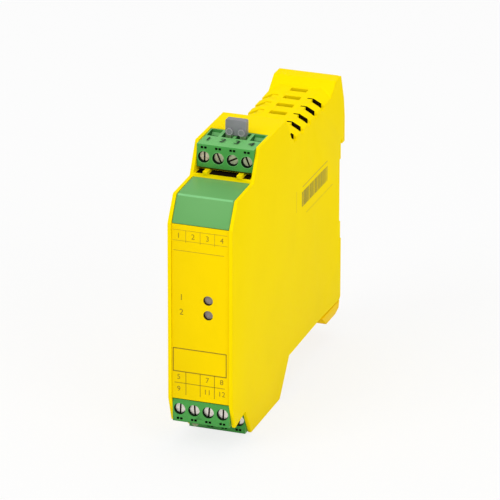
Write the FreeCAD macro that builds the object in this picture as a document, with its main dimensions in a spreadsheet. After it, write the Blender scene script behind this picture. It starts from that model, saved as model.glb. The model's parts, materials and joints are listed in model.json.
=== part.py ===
"""Safety relay in a 22.5 mm wide rail-mounted housing, as a parametric document.

Frame: X runs across the housing, +Y runs back towards the rail and +Z up.
The origin is the middle of the rail seat: the plane that the 35 mm rail's face rests on,
at half the rail's height.
"""
import FreeCAD, Part
import Sketcher
import os

document = FreeCAD.newDocument("SafetyRelay")
sheet = document.addObject("Spreadsheet::Sheet", "Sizes")


class Size:
    """A length with its value and the formula that gives it from the sheet."""

    def __init__(self, value, formula):
        self.value = value
        self.formula = formula

    def joined(self, other, sign, swap=False):
        first, second = (as_size(other), self) if swap else (self, as_size(other))
        results = {
            "+": first.value + second.value,
            "-": first.value - second.value,
            "*": first.value * second.value,
        }
        return Size(results[sign], f"({first.formula} {sign} {second.formula})")

    def __add__(self, other):
        return self.joined(other, "+")

    def __radd__(self, other):
        return self.joined(other, "+", swap=True)

    def __sub__(self, other):
        return self.joined(other, "-")

    def __rsub__(self, other):
        return self.joined(other, "-", swap=True)

    def __mul__(self, other):
        return self.joined(other, "*")

    def __rmul__(self, other):
        return self.joined(other, "*", swap=True)

    def __truediv__(self, other):
        divisor = as_size(other)
        return Size(self.value / divisor.value, f"({self.formula} / {divisor.formula})")

    def __neg__(self):
        return Size(-self.value, f"(0 - {self.formula})")


def as_size(value):
    """A plain number becomes a Size, so that both can be written in one formula."""
    if isinstance(value, Size):
        return value
    return Size(float(value), f"{float(value):.6f}")


# Driving sizes in millimetres. A depth is counted back from the front face and
# a height up from the lowest point of the side walls, as the housing stands on its rail.
SIZES = {
    # Housing as a whole
    "width": 22.5,
    "depth": 114.5,
    "side_wall": 1.2,
    "rim_wall": 1.5,
    "shelf_wall": 1.2,
    "fit_gap": 0.05,
    "slip_gap": 0.3,
    # Rail seat
    "hook_reach": 4.0,
    "rail_middle_height": 53.7,
    "rail_size": 35.0,
    "rail_flange": 1.0,
    "rail_gap": 0.2,
    "hook_overlap": 1.5,
    "recess_deep": 1.1,
    "recess_top_height": 64.6,
    "recess_low_height": 41.7,
    # Side wall outline, front and bottom
    "front_low_height": 17.3,
    "front_high_height": 79.2,
    "tail_depth": 3.0,
    "tail_height": 8.3,
    "notch_depth": 13.2,
    "notch_height": 10.0,
    "tooth_depth": 18.9,
    "skirt_depth": 47.6,
    "skirt_height": 0.2,
    "belly_front_depth": 57.2,
    "belly_front_height": 12.4,
    "belly_rear_room": 25.5,
    "belly_rear_height": 12.9,
    "heel_room": 3.1,
    "heel_height": 13.2,
    "heel_bevel": 1.0,
    "heel_top_height": 35.1,
    # Side wall outline, top
    "shoulder_depth": 5.3,
    "shoulder_height": 87.8,
    "step_depth": 20.9,
    "step_height": 88.3,
    "riser_depth": 26.4,
    "riser_height": 98.9,
    "ridge_past_header": 5.7,
    "ridge_height": 99.0,
    "ridge_fall": 6.0,
    "valley_height": 89.3,
    "ramp_room": 15.8,
    "ramp_height": 90.7,
    "crown_climb": 5.7,
    "crown_height": 95.1,
    "crown_room": 4.3,
    "back_bend_room": 1.1,
    "back_bend_height": 86.0,
    "back_low_height": 79.0,
    # Vented roof
    "bevel_width": 4.1,
    "bevel_drop": 2.1,
    "vent_start": 10.1,
    "vent_pitch": 7.15,
    "vent_slot": 2.7,
    "vent_floor": 1.05,
    "roof_inner_drop": 0.9,
    "slope_wall": 1.8,
    "vent_middle_half": 3.0,
    "vent_side_start": 5.2,
    # Plug bays
    "lip_height": 89.1,
    "lip_drop": 3.5,
    "tab_spacing": 11.8,
    "tab_width": 1.6,
    "tab_rise": 1.1,
    "mid_floor": 2.0,
    # Plugs: faces and outer edges
    "top_plug_depth": 24.2,
    "top_plug_height": 98.5,
    "front_plug_depth": 0.7,
    "front_plug_height": 9.0,
    "rear_plug_depth": 16.4,
    "rear_plug_height": 0.4,
    # Plug body
    "pole_pitch": 5.0,
    "plug_width": 19.8,
    "plug_height": 8.0,
    "plug_length": 14.1,
    "plug_text_length": 8.2,
    "plug_rise": 0.3,
    "plug_back_wall": 0.5,
    "nose_start": 4.6,
    "nose_length": 7.4,
    "nose_width": 18.6,
    "cell_width": 3.9,
    "cell_start": 3.5,
    "cell_roof": 2.3,
    "cell_floor": 6.7,
    "funnel_inner_start": 10.1,
    "funnel_inner_end": 12.6,
    "test_slot_width": 0.9,
    "test_slot_height": 0.8,
    "test_slot_gap": 0.3,
    "test_slot_deep": 1.2,
    "test_slot_edge": 0.7,
    # Terminal screw
    "screw_drop": 4.5,
    "screw_sink": 0.8,
    "head_radius": 1.85,
    "head_thick": 1.7,
    "head_bevel": 0.2,
    "well_radius": 2.0,
    "well_deep": 2.7,
    "shank_radius": 1.2,
    "shank_hole_radius": 1.35,
    "drive_slot": 0.6,
    "drive_slot_deep": 0.9,
    # Clamp cage
    "cage_width": 3.6,
    "cage_height": 3.8,
    "cage_side": 0.5,
    "cage_front": 1.5,
    "cage_back": 0.7,
    "cage_front_open": 6.4,
    "cage_length": 7.0,
    "thread_gap": 0.05,
    # Current bar and pin
    "bar_start": 9.2,
    "bar_thick": 0.8,
    "bar_width": 2.2,
    "bar_top": 2.5,
    "tongue_thick": 0.5,
    "tongue_level": 6.9,
    "contact_start": 14.6,
    "contact_end": 20.5,
    "contact_leaf": 0.45,
    "contact_level": 5.35,
    "pin_size": 1.0,
    "pin_level": 6.35,
    "pin_start": 15.6,
    "pin_bend_first": 24.5,
    "pin_bend_step": 1.6,
    # Header
    "header_width": 20.0,
    "header_start": 14.6,
    "header_end": 23.5,
    "header_back": 1.5,
    "header_top": 2.3,
    "header_bottom": 9.3,
    "header_inner_top": 4.3,
    "header_inner_bottom": 8.3,
    "header_inner_width": 19.2,
    # Bridge
    "bridge_width": 8.6,
    "bridge_height": 6.7,
    "bridge_thick": 2.4,
    "bridge_corner": 0.8,
    "bridge_boss_radius": 1.6,
    "bridge_boss_rise": 0.5,
    "prong_thick": 0.8,
    "prong_width": 2.0,
    "prong_depth": 10.15,
    "prong_reach": 5.2,
    # Front panel, cover and light guides
    "panel_thick": 1.5,
    "panel_rib": 3.5,
    "cover_thick": 1.4,
    "light_side": 2.7,
    "light_upper_height": 52.3,
    "light_lower_height": 47.1,
    "light_radius": 1.5,
    "light_hole_radius": 1.65,
    "light_sink": 0.3,
    "light_bend_depth": 9.0,
    # Circuit board and what it carries
    "board_side": 9.8,
    "board_thick": 1.6,
    "board_front_depth": 8.0,
    "board_rear_room": 12.5,
    "board_low_height": 20.0,
    "board_top_height": 86.0,
    "led_thick": 0.9,
    "led_size": 2.6,
    "relay_height": 40.0,
    "relay_low_height": 30.0,
    "relay_length": 13.0,
    "relay_thick": 15.5,
    "relay_rear_room": 11.0,
    "relay_gap": 3.0,
    "capacitor_radius": 4.0,
    "capacitor_length": 12.5,
    "capacitor_depth": 40.0,
    "capacitor_height": 70.0,
    "coil_size": 13.0,
    "coil_thick": 10.0,
    "coil_depth": 36.0,
    "coil_height": 45.0,
    "chip_size": 9.0,
    "chip_thick": 1.4,
    "chip_depth": 22.0,
    "chip_low_height": 30.0,
    "chip_high_height": 62.0,
    # Foot latch and its spring
    "latch_slope": 4.6,
    "latch_sole": 9.8,
    "latch_sole_height": 8.0,
    "latch_heel": 4.4,
    "latch_inset": 0.2,
    "latch_top_height": 11.8,
    "latch_width": 22.0,
    "stem_width": 19.4,
    "stem_thick": 3.8,
    "stem_inset": 0.2,
    "channel_height": 39.4,
    "nose_lip": 1.2,
    "nose_rise": 1.0,
    "window_low_height": 17.4,
    "window_high_height": 30.4,
    "window_width": 5.0,
    "ledge_width": 4.4,
    "ledge_thick": 1.3,
    "spring_radius": 1.3,
    "spring_wire": 0.4,
    "spring_turns": 6.0,
}


class Sheet:
    """Gives each driving size by its name."""


S = Sheet()
for row, (alias, value) in enumerate(SIZES.items(), start=1):
    sheet.set(f"A{row}", alias)
    sheet.set(f"B{row}", str(value))
    sheet.setAlias(f"B{row}", alias)
    setattr(S, alias, Size(value, f"Sizes.{alias}"))
document.recompute()

# Depths that follow from other sizes
S.rail_depth = S.depth - S.hook_reach
S.recess_depth = S.rail_depth - S.recess_deep
S.heel_depth = S.depth - S.heel_room
S.belly_rear_depth = S.depth - S.belly_rear_room
S.ridge_depth = S.top_plug_depth + S.header_end + S.ridge_past_header
S.valley_depth = S.ridge_depth + S.ridge_fall
S.ramp_depth = S.depth - S.ramp_room
S.crown_front_depth = S.ramp_depth + S.crown_climb
S.crown_rear_depth = S.depth - S.crown_room
S.back_bend_depth = S.depth - S.back_bend_room
S.vent_first_depth = S.valley_depth + S.vent_start
S.board_rear_depth = S.depth - S.board_rear_room
S.relay_first_depth = (S.board_rear_depth - S.relay_rear_room
                       - S.relay_length * 2 - S.relay_gap)
S.latch_back_depth = S.heel_depth - S.latch_inset
S.latch_heel_depth = S.latch_back_depth - S.latch_heel
S.latch_toe_depth = S.latch_heel_depth - S.latch_sole
S.latch_front_depth = S.latch_toe_depth - S.latch_slope
S.stem_rear_depth = S.rail_depth - S.stem_inset
S.stem_front_depth = S.stem_rear_depth - S.stem_thick
S.channel_depth = S.stem_front_depth - S.slip_gap


def behind(depth):
    """Y of a depth counted back from the front face."""
    return as_size(depth) - S.rail_depth


def above(height):
    """Z of a height counted up from the lowest point of the side walls."""
    return as_size(height) - S.rail_middle_height


def side_points(points):
    """Sketch points on the side view, from depths and heights."""
    return [(behind(depth), above(height)) for depth, height in points]


def bind(thing, path, value):
    """Set a property from a size, and keep it tied to the sheet."""
    size = as_size(value)
    if isinstance(value, Size):
        thing.setExpression(path, size.formula)
    elif "." in path:
        thing.setExpression(path, size.formula)
    else:
        setattr(thing, path, size.value)


def new_body(name):
    body = document.addObject("PartDesign::Body", name)
    body.AllowCompound = True
    return body


# Which way a sketch's normal points along its plane's axis
NORMAL_SIGN = {"YZ": 1, "XZ": -1, "XY": 1}


def new_sketch(body, name, plane, level):
    """A sketch on one of the body's own planes, moved to a level along that plane's axis."""
    sketch = body.newObject("Sketcher::SketchObject", name)
    origin_plane = [f for f in body.Origin.OriginFeatures if f.Role == plane + "_Plane"][0]
    sketch.AttachmentSupport = [(origin_plane, "")]
    sketch.MapMode = "FlatFace"
    bind(sketch, "AttachmentOffset.Base.z", as_size(level) * NORMAL_SIGN[plane])
    return sketch


def draw_polygon(sketch, points):
    """A closed outline of straight lines with each corner held by two sizes."""
    first = sketch.GeometryCount
    count = len(points)
    places = [FreeCAD.Vector(as_size(x).value, as_size(y).value, 0) for x, y in points]
    lines = [Part.LineSegment(places[i], places[(i + 1) % count]) for i in range(count)]
    sketch.addGeometry(lines, False)
    for i in range(count):
        following = first + (i + 1) % count
        sketch.addConstraint(Sketcher.Constraint("Coincident", first + i, 2, following, 1))
    for i, (x, y) in enumerate(points):
        for kind, size in (("DistanceX", as_size(x)), ("DistanceY", as_size(y))):
            held = Sketcher.Constraint(kind, -1, 1, first + i, 1, size.value)
            index = sketch.addConstraint(held)
            sketch.setExpression(f"Constraints[{index}]", size.formula)


def draw_circle(sketch, x, y, radius):
    index = sketch.GeometryCount
    x, y, radius = as_size(x), as_size(y), as_size(radius)
    centre = FreeCAD.Vector(x.value, y.value, 0)
    normal = FreeCAD.Vector(0, 0, 1)
    sketch.addGeometry(Part.Circle(centre, normal, radius.value), False)
    for kind, size in (("DistanceX", x), ("DistanceY", y)):
        held = sketch.addConstraint(Sketcher.Constraint(kind, -1, 1, index, 3, size.value))
        sketch.setExpression(f"Constraints[{held}]", size.formula)
    held = sketch.addConstraint(Sketcher.Constraint("Radius", index, radius.value))
    sketch.setExpression(f"Constraints[{held}]", radius.formula)


def rectangle(low_x, low_y, high_x, high_y):
    return [(low_x, low_y), (high_x, low_y), (high_x, high_y), (low_x, high_y)]


def pad(body, name, plane, start, end, polygons=(), circles=()):
    """Add material between two levels along the plane's axis."""
    level = start if NORMAL_SIGN[plane] > 0 else end
    sketch = new_sketch(body, name + "Sketch", plane, level)
    for points in polygons:
        draw_polygon(sketch, points)
    for circle in circles:
        draw_circle(sketch, *circle)
    feature = body.newObject("PartDesign::Pad", name)
    feature.Profile = sketch
    bind(feature, "Length", as_size(end) - as_size(start))
    body.Tip = feature
    return feature


def pocket(body, name, plane, start, end, polygons=(), circles=()):
    """Remove material between two levels along the plane's axis."""
    level = end if NORMAL_SIGN[plane] > 0 else start
    sketch = new_sketch(body, name + "Sketch", plane, level)
    for points in polygons:
        draw_polygon(sketch, points)
    for circle in circles:
        draw_circle(sketch, *circle)
    feature = body.newObject("PartDesign::Pocket", name)
    feature.Profile = sketch
    bind(feature, "Length", as_size(end) - as_size(start))
    body.Tip = feature
    return feature


def axis_of(body, role):
    return [f for f in body.Origin.OriginFeatures if f.Role == role][0]


def pattern_along_x(body, name, features, pitch, copies):
    """Repeat features along X, a pitch apart."""
    repeat = body.newObject("PartDesign::LinearPattern", name)
    repeat.Originals = features
    repeat.Direction = (axis_of(body, "X_Axis"), [""])
    repeat.Occurrences = copies
    bind(repeat, "Length", pitch * (copies - 1))
    body.Tip = repeat
    return repeat


def prism(name, plane, start, end, polygons=(), circles=()):
    """A body of one straight extrusion."""
    body = new_body(name)
    pad(body, name + "Pad", plane, start, end, polygons, circles)
    return body


def cut(name, base, tools):
    feature = document.addObject("Part::Cut", name)
    feature.Base = base
    if len(tools) == 1:
        feature.Tool = tools[0]
    else:
        fused = document.addObject("Part::MultiFuse", name + "Tools")
        fused.Shapes = tools
        feature.Tool = fused
    return feature


def fuse(name, shapes):
    feature = document.addObject("Part::MultiFuse", name)
    feature.Shapes = shapes
    feature.Refine = True
    return feature


SUBPARTS = []


def finish(thing, label):
    """Name a finished sub-part, so that it is checked and written."""
    thing.Label = label
    SUBPARTS.append((label, thing))
    return thing


half_width = S.width / 2
inner_half = half_width - S.side_wall


def roof_edge(depth):
    """Height of the vented roof's outer edge at a depth."""
    rise = (S.ramp_height - S.valley_height) / (S.ramp_depth - S.valley_depth)
    return S.valley_height + (as_size(depth) - S.valley_depth) * rise


def side_outline():
    """The side wall's outline with the roof at the height of its flat middle."""
    ridge_run = (S.valley_depth - S.ridge_depth) / (S.ridge_height - S.valley_height)
    ramp_run = (S.crown_front_depth - S.ramp_depth) / (S.crown_height - S.ramp_height)
    rail_top = S.rail_middle_height + S.rail_size / 2
    lip_depth = S.rail_depth + S.rail_flange + S.rail_gap
    return side_points([
        (0, S.front_low_height),
        (0, S.front_high_height),
        (S.shoulder_depth, S.shoulder_height),
        (S.step_depth, S.step_height),
        (S.riser_depth, S.riser_height),
        (S.ridge_depth, S.ridge_height),
        (S.valley_depth - S.bevel_drop * ridge_run, S.valley_height + S.bevel_drop),
        (S.ramp_depth + S.bevel_drop * ramp_run, S.ramp_height + S.bevel_drop),
        (S.crown_front_depth, S.crown_height),
        (S.crown_rear_depth, S.crown_height),
        (S.back_bend_depth, S.back_bend_height),
        (S.depth, S.back_low_height),
        (S.depth, rail_top - S.hook_overlap),
        (lip_depth, rail_top - S.hook_overlap),
        (lip_depth, rail_top + S.rail_gap),
        (S.rail_depth, rail_top + S.rail_gap),
        (S.rail_depth, S.recess_top_height),
        (S.recess_depth, S.recess_top_height),
        (S.recess_depth, S.recess_low_height),
        (S.rail_depth, S.recess_low_height),
        (S.rail_depth, S.heel_top_height),
        (S.heel_depth, S.heel_top_height),
        (S.heel_depth, S.heel_height),
        (S.heel_depth - S.heel_bevel, S.heel_height - S.heel_bevel),
        (S.belly_rear_depth, S.belly_rear_height),
        (S.belly_front_depth, S.belly_front_height),
        (S.skirt_depth, S.skirt_height),
        (S.tooth_depth, 0),
        (S.notch_depth, S.notch_height),
        (S.tail_depth, S.tail_height),
    ])


def bevel_tool(side):
    """What the slope down to one side edge of the roof takes away."""
    label = "Right" if side > 0 else "Left"
    slope_over = S.bevel_drop / S.bevel_width
    over = S.bevel_drop * 2
    front = S.ridge_depth
    rear = S.crown_front_depth
    inner_x = (half_width - S.bevel_width - S.bevel_width) * side
    outer_x = (half_width + S.side_wall) * side
    wedge = new_body(f"Bevel{label}Wedge")
    pad(wedge, f"Bevel{label}Slope", "XZ", behind(front), behind(rear), [[
        (inner_x, above(roof_edge(rear)) + over),
        (outer_x, above(roof_edge(rear)) - slope_over * S.side_wall),
        (outer_x, above(roof_edge(rear)) + over),
    ]])
    slope = wedge.Tip
    slope.UseCustomVector = True
    slope.AlongSketchNormal = True
    slope.Direction = FreeCAD.Vector(0, -1, 0)
    run = S.ramp_depth - S.valley_depth
    rise = S.ramp_height - S.valley_height
    slope.setExpression("Direction.z", (-(rise / run)).formula)
    ridge_run = (S.valley_depth - S.ridge_depth) / (S.ridge_height - S.valley_height)
    ramp_run = (S.crown_front_depth - S.ramp_depth) / (S.crown_height - S.ramp_height)
    span = prism(f"Bevel{label}Span", "YZ", -S.width, S.width, [side_points([
        (S.valley_depth, S.valley_height),
        (S.ramp_depth, S.ramp_height),
        (S.ramp_depth + over * ramp_run, S.ramp_height + over),
        (S.valley_depth - over * ridge_run, S.valley_height + over),
    ])])
    tool = document.addObject("Part::Common", f"Bevel{label}")
    tool.Base = wedge
    tool.Tool = span
    return tool


def outer_form():
    """The closed outer shape that the shell and the side cover are taken from."""
    body = new_body("OuterForm")
    pad(body, "OuterPad", "YZ", -half_width, half_width, [side_outline()])
    slots = [vent_row(S.vent_first_depth + S.vent_pitch * row) for row in range(4)]
    first = [vent_row(S.vent_first_depth - S.vent_pitch)]
    last = [vent_row(S.vent_first_depth + S.vent_pitch * 4)]
    reach = half_width + 1
    pocket(body, "VentRight", "YZ", S.vent_side_start, reach, slots)
    pocket(body, "VentLeft", "YZ", -reach, -S.vent_side_start, slots)
    pocket(body, "VentMiddle", "YZ", -S.vent_middle_half, S.vent_middle_half, slots + last)
    short_start = half_width - S.bevel_width / 2
    pocket(body, "VentRightShort", "YZ", short_start, reach, first)
    pocket(body, "VentLeftShort", "YZ", -reach, -short_start, first)
    return cut("BevelledForm", body, [bevel_tool(1), bevel_tool(-1)])


def vent_row(depth):
    """Side view of one row of slots, cut just through the roof."""
    floor = S.vent_floor
    over = S.bevel_drop * 3
    front = depth - S.vent_slot / 2
    rear = depth + S.vent_slot / 2
    return side_points([
        (front, roof_edge(front) - floor),
        (rear, roof_edge(rear) - floor),
        (rear, roof_edge(rear) + over),
        (front, roof_edge(front) + over),
    ])


def cavity_outline():
    """The space between the side walls that the board, the headers and the panel fill."""
    outside = -S.tail_depth
    shelf_end = S.front_plug_depth + S.header_start - S.slip_gap / 2
    shelf_top = S.front_low_height + S.shelf_wall
    mid_top = S.front_plug_height + S.mid_floor
    rear_end = S.rear_plug_depth + S.header_start - S.slip_gap
    skirt_top = S.rear_plug_height + S.header_top - S.slip_gap / 2
    top_end = S.top_plug_depth + S.header_start - S.slip_gap
    seat_top = S.top_plug_height - S.header_top + S.slip_gap / 2
    floor_rear = S.top_plug_depth + S.header_end
    ridge_inner = S.ridge_height - S.rim_wall
    lip_floor = S.lip_height - S.shelf_wall
    slope_gap = S.slope_wall
    roof_gap = S.roof_inner_drop
    hook_inner = S.depth - S.rim_wall - S.rail_gap
    rail_top = S.rail_middle_height + S.rail_size / 2
    return side_points([
        (outside, S.front_low_height),
        (S.panel_thick + S.rail_gap, S.front_low_height),
        (S.panel_thick + S.rail_gap, shelf_top),
        (shelf_end, shelf_top),
        (shelf_end, mid_top),
        (rear_end, mid_top),
        (rear_end, skirt_top),
        (S.skirt_depth - S.rim_wall / 2, skirt_top),
        (S.belly_front_depth - S.rim_wall / 2, S.belly_front_height + S.rim_wall),
        (S.belly_rear_depth, S.belly_rear_height + S.rim_wall),
        (S.channel_depth - S.rim_wall, S.belly_rear_height + S.rim_wall),
        (S.channel_depth - S.rim_wall, S.channel_height + S.rim_wall),
        (S.recess_depth - S.rim_wall, S.channel_height + S.rim_wall),
        (S.recess_depth - S.rim_wall, rail_top + S.rim_wall),
        (hook_inner, rail_top + S.rim_wall * 2),
        (hook_inner, S.back_low_height),
        (S.back_bend_depth - S.rim_wall, S.back_bend_height - S.rim_wall / 2),
        (S.crown_rear_depth - S.rim_wall, S.crown_height - S.rim_wall),
        (S.crown_front_depth + S.rim_wall / 2, S.crown_height - S.rim_wall),
        (S.ramp_depth + S.rim_wall / 2, S.ramp_height - roof_gap),
        (S.valley_depth - slope_gap / 2, S.valley_height - roof_gap),
        (S.ridge_depth - slope_gap / 2, ridge_inner),
        (top_end + S.rim_wall, ridge_inner - S.rim_wall / 2),
        (top_end + S.rim_wall, seat_top),
        (top_end, seat_top),
        (top_end, S.lip_height),
        (floor_rear, S.lip_height),
        (floor_rear, lip_floor),
        (S.step_depth + S.shelf_wall, lip_floor),
        (S.step_depth + S.shelf_wall, S.lip_height - S.lip_drop),
        (S.step_depth, S.lip_height - S.lip_drop),
        (S.step_depth, S.lip_height + S.shelf_wall),
        (outside, S.lip_height + S.shelf_wall),
    ])


def lower_bay_outline():
    """The stepped bay of the two lower plugs, open to the front and below."""
    outside = -S.tail_depth
    front_end = S.front_plug_depth + S.header_start - S.slip_gap / 2
    rear_end = S.rear_plug_depth + S.header_start - S.slip_gap
    return side_points([
        (outside, S.front_low_height),
        (front_end, S.front_low_height),
        (front_end, S.front_plug_height),
        (rear_end, S.front_plug_height),
        (rear_end, outside),
        (outside, outside),
    ])


def upper_bay_outline():
    """The bay of the upper plug, open to the front and above."""
    outside = -S.tail_depth
    rear_end = S.top_plug_depth + S.header_start - S.slip_gap
    return side_points(rectangle(outside, S.lip_height, rear_end, S.ridge_height + S.rim_wall))


def channel_outline():
    """The channel that the foot latch slides in, open to the rear and below."""
    return side_points(rectangle(S.channel_depth, 0, S.depth + S.rim_wall, S.channel_height))


def roof_hollow_outline():
    """The inside of the roof's raised middle."""
    front = S.valley_depth + S.rim_wall
    rear = S.ramp_depth + S.rim_wall / 2
    low = S.roof_inner_drop + S.fit_gap
    high = S.bevel_drop - S.rim_wall
    return side_points([
        (front, roof_edge(front) - low),
        (rear, roof_edge(rear) - low),
        (rear, roof_edge(rear) + high),
        (front, roof_edge(front) + high),
    ])


def make_housing():
    """The shell with its left wall and the side cover that closes it."""
    form = outer_form()
    slab = document.addObject("Part::Box", "CoverSlab")
    bind(slab, "Length", S.side_wall + 1)
    bind(slab, "Width", S.depth * 2)
    bind(slab, "Height", S.ridge_height * 2)
    bind(slab, "Placement.Base.x", inner_half)
    bind(slab, "Placement.Base.y", -S.depth * 1.5)
    bind(slab, "Placement.Base.z", -S.ridge_height)
    cover = document.addObject("Part::Common", "SideCoverForm")
    cover.Base = form
    cover.Tool = slab
    finish(cover, "side_cover")
    cavity = prism("Cavity", "YZ", -inner_half, inner_half, [cavity_outline()])
    lower_bay = prism("LowerBay", "YZ", -inner_half, inner_half, [lower_bay_outline()])
    upper_bay = prism("UpperBay", "YZ", -inner_half, inner_half, [upper_bay_outline()])
    channel = prism("LatchChannel", "YZ", -inner_half, inner_half, [channel_outline()])
    hollow_half = half_width - S.bevel_width
    hollow = prism("RoofHollow", "YZ", -hollow_half, hollow_half, [roof_hollow_outline()])
    shell = cut("ShellForm", form, [slab, cavity, lower_bay, upper_bay, channel, hollow])
    ledge_low = S.window_low_height + S.slip_gap
    ledge = prism("SpringLedge", "YZ", -S.ledge_width / 2, S.ledge_width / 2, [side_points(
        rectangle(S.channel_depth - S.fit_gap, ledge_low,
                  S.stem_rear_depth - S.slip_gap, ledge_low + S.ledge_thick))])
    tab_half = S.tab_width / 2
    tabs = []
    for label, side in (("Left", -1), ("Right", 1)):
        middle = S.tab_spacing / 2 * side
        tabs.append(prism(f"Tab{label}", "YZ", middle - tab_half, middle + tab_half, [
            side_points(rectangle(S.step_depth + S.fit_gap, S.lip_height - S.fit_gap,
                                  S.top_plug_depth - S.slip_gap,
                                  S.lip_height + S.tab_rise))]))
    finish(fuse("HousingShell", [shell, ledge] + tabs), "housing_shell")


def make_front():
    """The front panel with its two light holes, and the blank cover above it."""
    half = inner_half - S.fit_gap
    panel = new_body("FrontPanel")
    low = S.front_low_height + S.fit_gap
    high = S.front_high_height - S.fit_gap
    pad(panel, "PanelPlate", "YZ", -half, half,
        [side_points(rectangle(0, low, S.panel_thick, high))])
    rib_low = low + S.panel_rib
    rib_high = high - S.panel_rib
    rib = side_points(rectangle(S.panel_thick, rib_low, S.panel_thick + S.panel_rib, rib_high))
    pad(panel, "PanelRibRight", "YZ", half - S.shelf_wall, half, [rib])
    pad(panel, "PanelRibLeft", "YZ", -half, -half + S.shelf_wall, [rib])
    holes = [(S.light_side, above(level), S.light_hole_radius)
             for level in (S.light_upper_height, S.light_lower_height)]
    pocket(panel, "PanelHoles", "XZ", behind(-1), behind(S.panel_thick + 1), circles=holes)
    finish(panel, "front_panel")
    outer_low = S.front_high_height + S.fit_gap
    drop = S.cover_thick
    blank = prism("BlankCover", "YZ", -half, half, [side_points([
        (0, outer_low),
        (S.shoulder_depth, S.shoulder_height),
        (S.step_depth - S.fit_gap, S.step_height),
        (S.step_depth - S.fit_gap, S.step_height - drop),
        (S.shoulder_depth + drop * 0.7, S.shoulder_height - drop),
        (drop, outer_low),
    ])])
    finish(blank, "blank_cover")


def plug_place(thing, face_depth, outer_height, upper, x=0, inward=0, down=0):
    """Put a piece drawn in the plug's own frame where its plug is.

    In that frame Y runs back from the plug's face and Z runs outwards from its outer edge.
    The lower plugs are the upper one turned half round about Y.
    """
    sign = 1 if upper else -1
    bind(thing, "Placement.Base.x", as_size(x) * sign)
    bind(thing, "Placement.Base.y", behind(face_depth) + as_size(inward))
    bind(thing, "Placement.Base.z", above(outer_height) - as_size(down) * sign)
    return sign


def turn_about_y(thing, degrees):
    base = thing.Placement.Base
    rotation = FreeCAD.Rotation(FreeCAD.Vector(0, 1, 0), degrees)
    thing.Placement = FreeCAD.Placement(base, rotation)


POLES = 4


def pole_x(pole):
    """Where a pole stands across its plug, counted from the left."""
    return S.pole_pitch * (pole - (POLES - 1) / 2)


def make_plug_housing(name):
    """The green plug body with its screw wells, wire funnels, clamp cells and nose."""
    body = new_body(name)
    half = S.plug_width / 2
    nose_end = S.plug_length + S.nose_length
    profile = [
        (0, 0),
        (S.plug_text_length, 0),
        (S.plug_length - S.plug_back_wall, S.plug_rise),
        (S.plug_length, S.plug_rise),
        (S.plug_length, -S.plug_height),
        (0, -S.plug_height),
    ]
    pad(body, name + "Block", "YZ", -half, half, [profile])
    nose_half = S.nose_width / 2
    nose = rectangle(S.plug_length - 1, -S.plug_height, nose_end, -S.nose_start)
    pad(body, name + "Nose", "YZ", -nose_half, nose_half, [nose])
    first = pole_x(0)
    cell_half = S.cell_width / 2
    cell_end = S.plug_length - S.plug_back_wall
    funnel_high = S.plug_rise + 1
    cell = [
        (S.cell_start, -S.cell_floor),
        (S.cell_start, -S.cell_roof),
        (S.funnel_inner_start, -S.cell_roof),
        (S.funnel_inner_start, -S.cell_roof * 0.7),
        (S.plug_text_length, 0),
        (S.plug_text_length, funnel_high),
        (cell_end, funnel_high),
        (cell_end, -S.cell_roof * 0.3),
        (S.funnel_inner_end, -S.cell_roof * 0.7),
        (S.funnel_inner_end, -S.cell_roof),
        (cell_end, -S.cell_roof),
        (cell_end, -S.cell_floor),
    ]
    cells = pocket(body, name + "Cell", "YZ", first - cell_half, first + cell_half, [cell])
    channel_half = S.bar_width / 2 + S.thread_gap * 3
    bar_low = S.tongue_level + S.tongue_thick + S.thread_gap
    leaf_high = S.contact_level - S.slip_gap / 2
    channel = [
        (S.bar_start - S.thread_gap, -S.cell_floor + S.fit_gap),
        (cell_end - S.fit_gap, -S.cell_floor + S.fit_gap),
        (cell_end - S.fit_gap, -leaf_high),
        (nose_end + 1, -leaf_high),
        (nose_end + 1, -bar_low),
        (S.bar_start - S.thread_gap, -bar_low),
    ]
    channels = pocket(body, name + "Channel", "YZ", first - channel_half,
                      first + channel_half, [channel])
    well = pocket(body, name + "Well", "XZ", -1, S.well_deep,
                  circles=[(first, -S.screw_drop, S.well_radius)])
    shank = pocket(body, name + "ShankHole", "XZ", S.well_deep - S.fit_gap,
                   S.cell_start + S.fit_gap,
                   circles=[(first, -S.screw_drop, S.shank_hole_radius)])
    slot_top = -S.test_slot_edge
    slot_low = slot_top - S.test_slot_height
    gap = S.test_slot_gap / 2
    slots = [
        rectangle(first - gap - S.test_slot_width, slot_low, first - gap, slot_top),
        rectangle(first + gap, slot_low, first + gap + S.test_slot_width, slot_top),
    ]
    test = pocket(body, name + "TestSlot", "XZ", -1, S.test_slot_deep, slots)
    pattern_along_x(body, name + "Poles", [cells, channels, well, shank, test],
                    S.pole_pitch, POLES)
    return body


def make_contact_bars(name):
    """Four current bars, each with the fork that grips a header pin."""
    body = new_body(name)
    first = pole_x(0)
    half = S.bar_width / 2
    tongue_low = S.tongue_level + S.tongue_thick
    leaf_low = S.contact_level + S.contact_leaf
    link_end = S.contact_start + S.contact_leaf
    profile = [
        (S.bar_start, -S.bar_top),
        (S.bar_start + S.bar_thick, -S.bar_top),
        (S.bar_start + S.bar_thick, -S.tongue_level),
        (S.contact_start, -S.tongue_level),
        (S.contact_start, -S.contact_level),
        (S.contact_end, -S.contact_level),
        (S.contact_end, -leaf_low),
        (link_end, -leaf_low),
        (link_end, -S.tongue_level),
        (S.contact_end, -S.tongue_level),
        (S.contact_end, -tongue_low),
        (S.bar_start, -tongue_low),
    ]
    bar = pad(body, name + "Bar", "YZ", first - half, first + half, [profile])
    pattern_along_x(body, name + "Row", [bar], S.pole_pitch, POLES)
    return body


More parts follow.
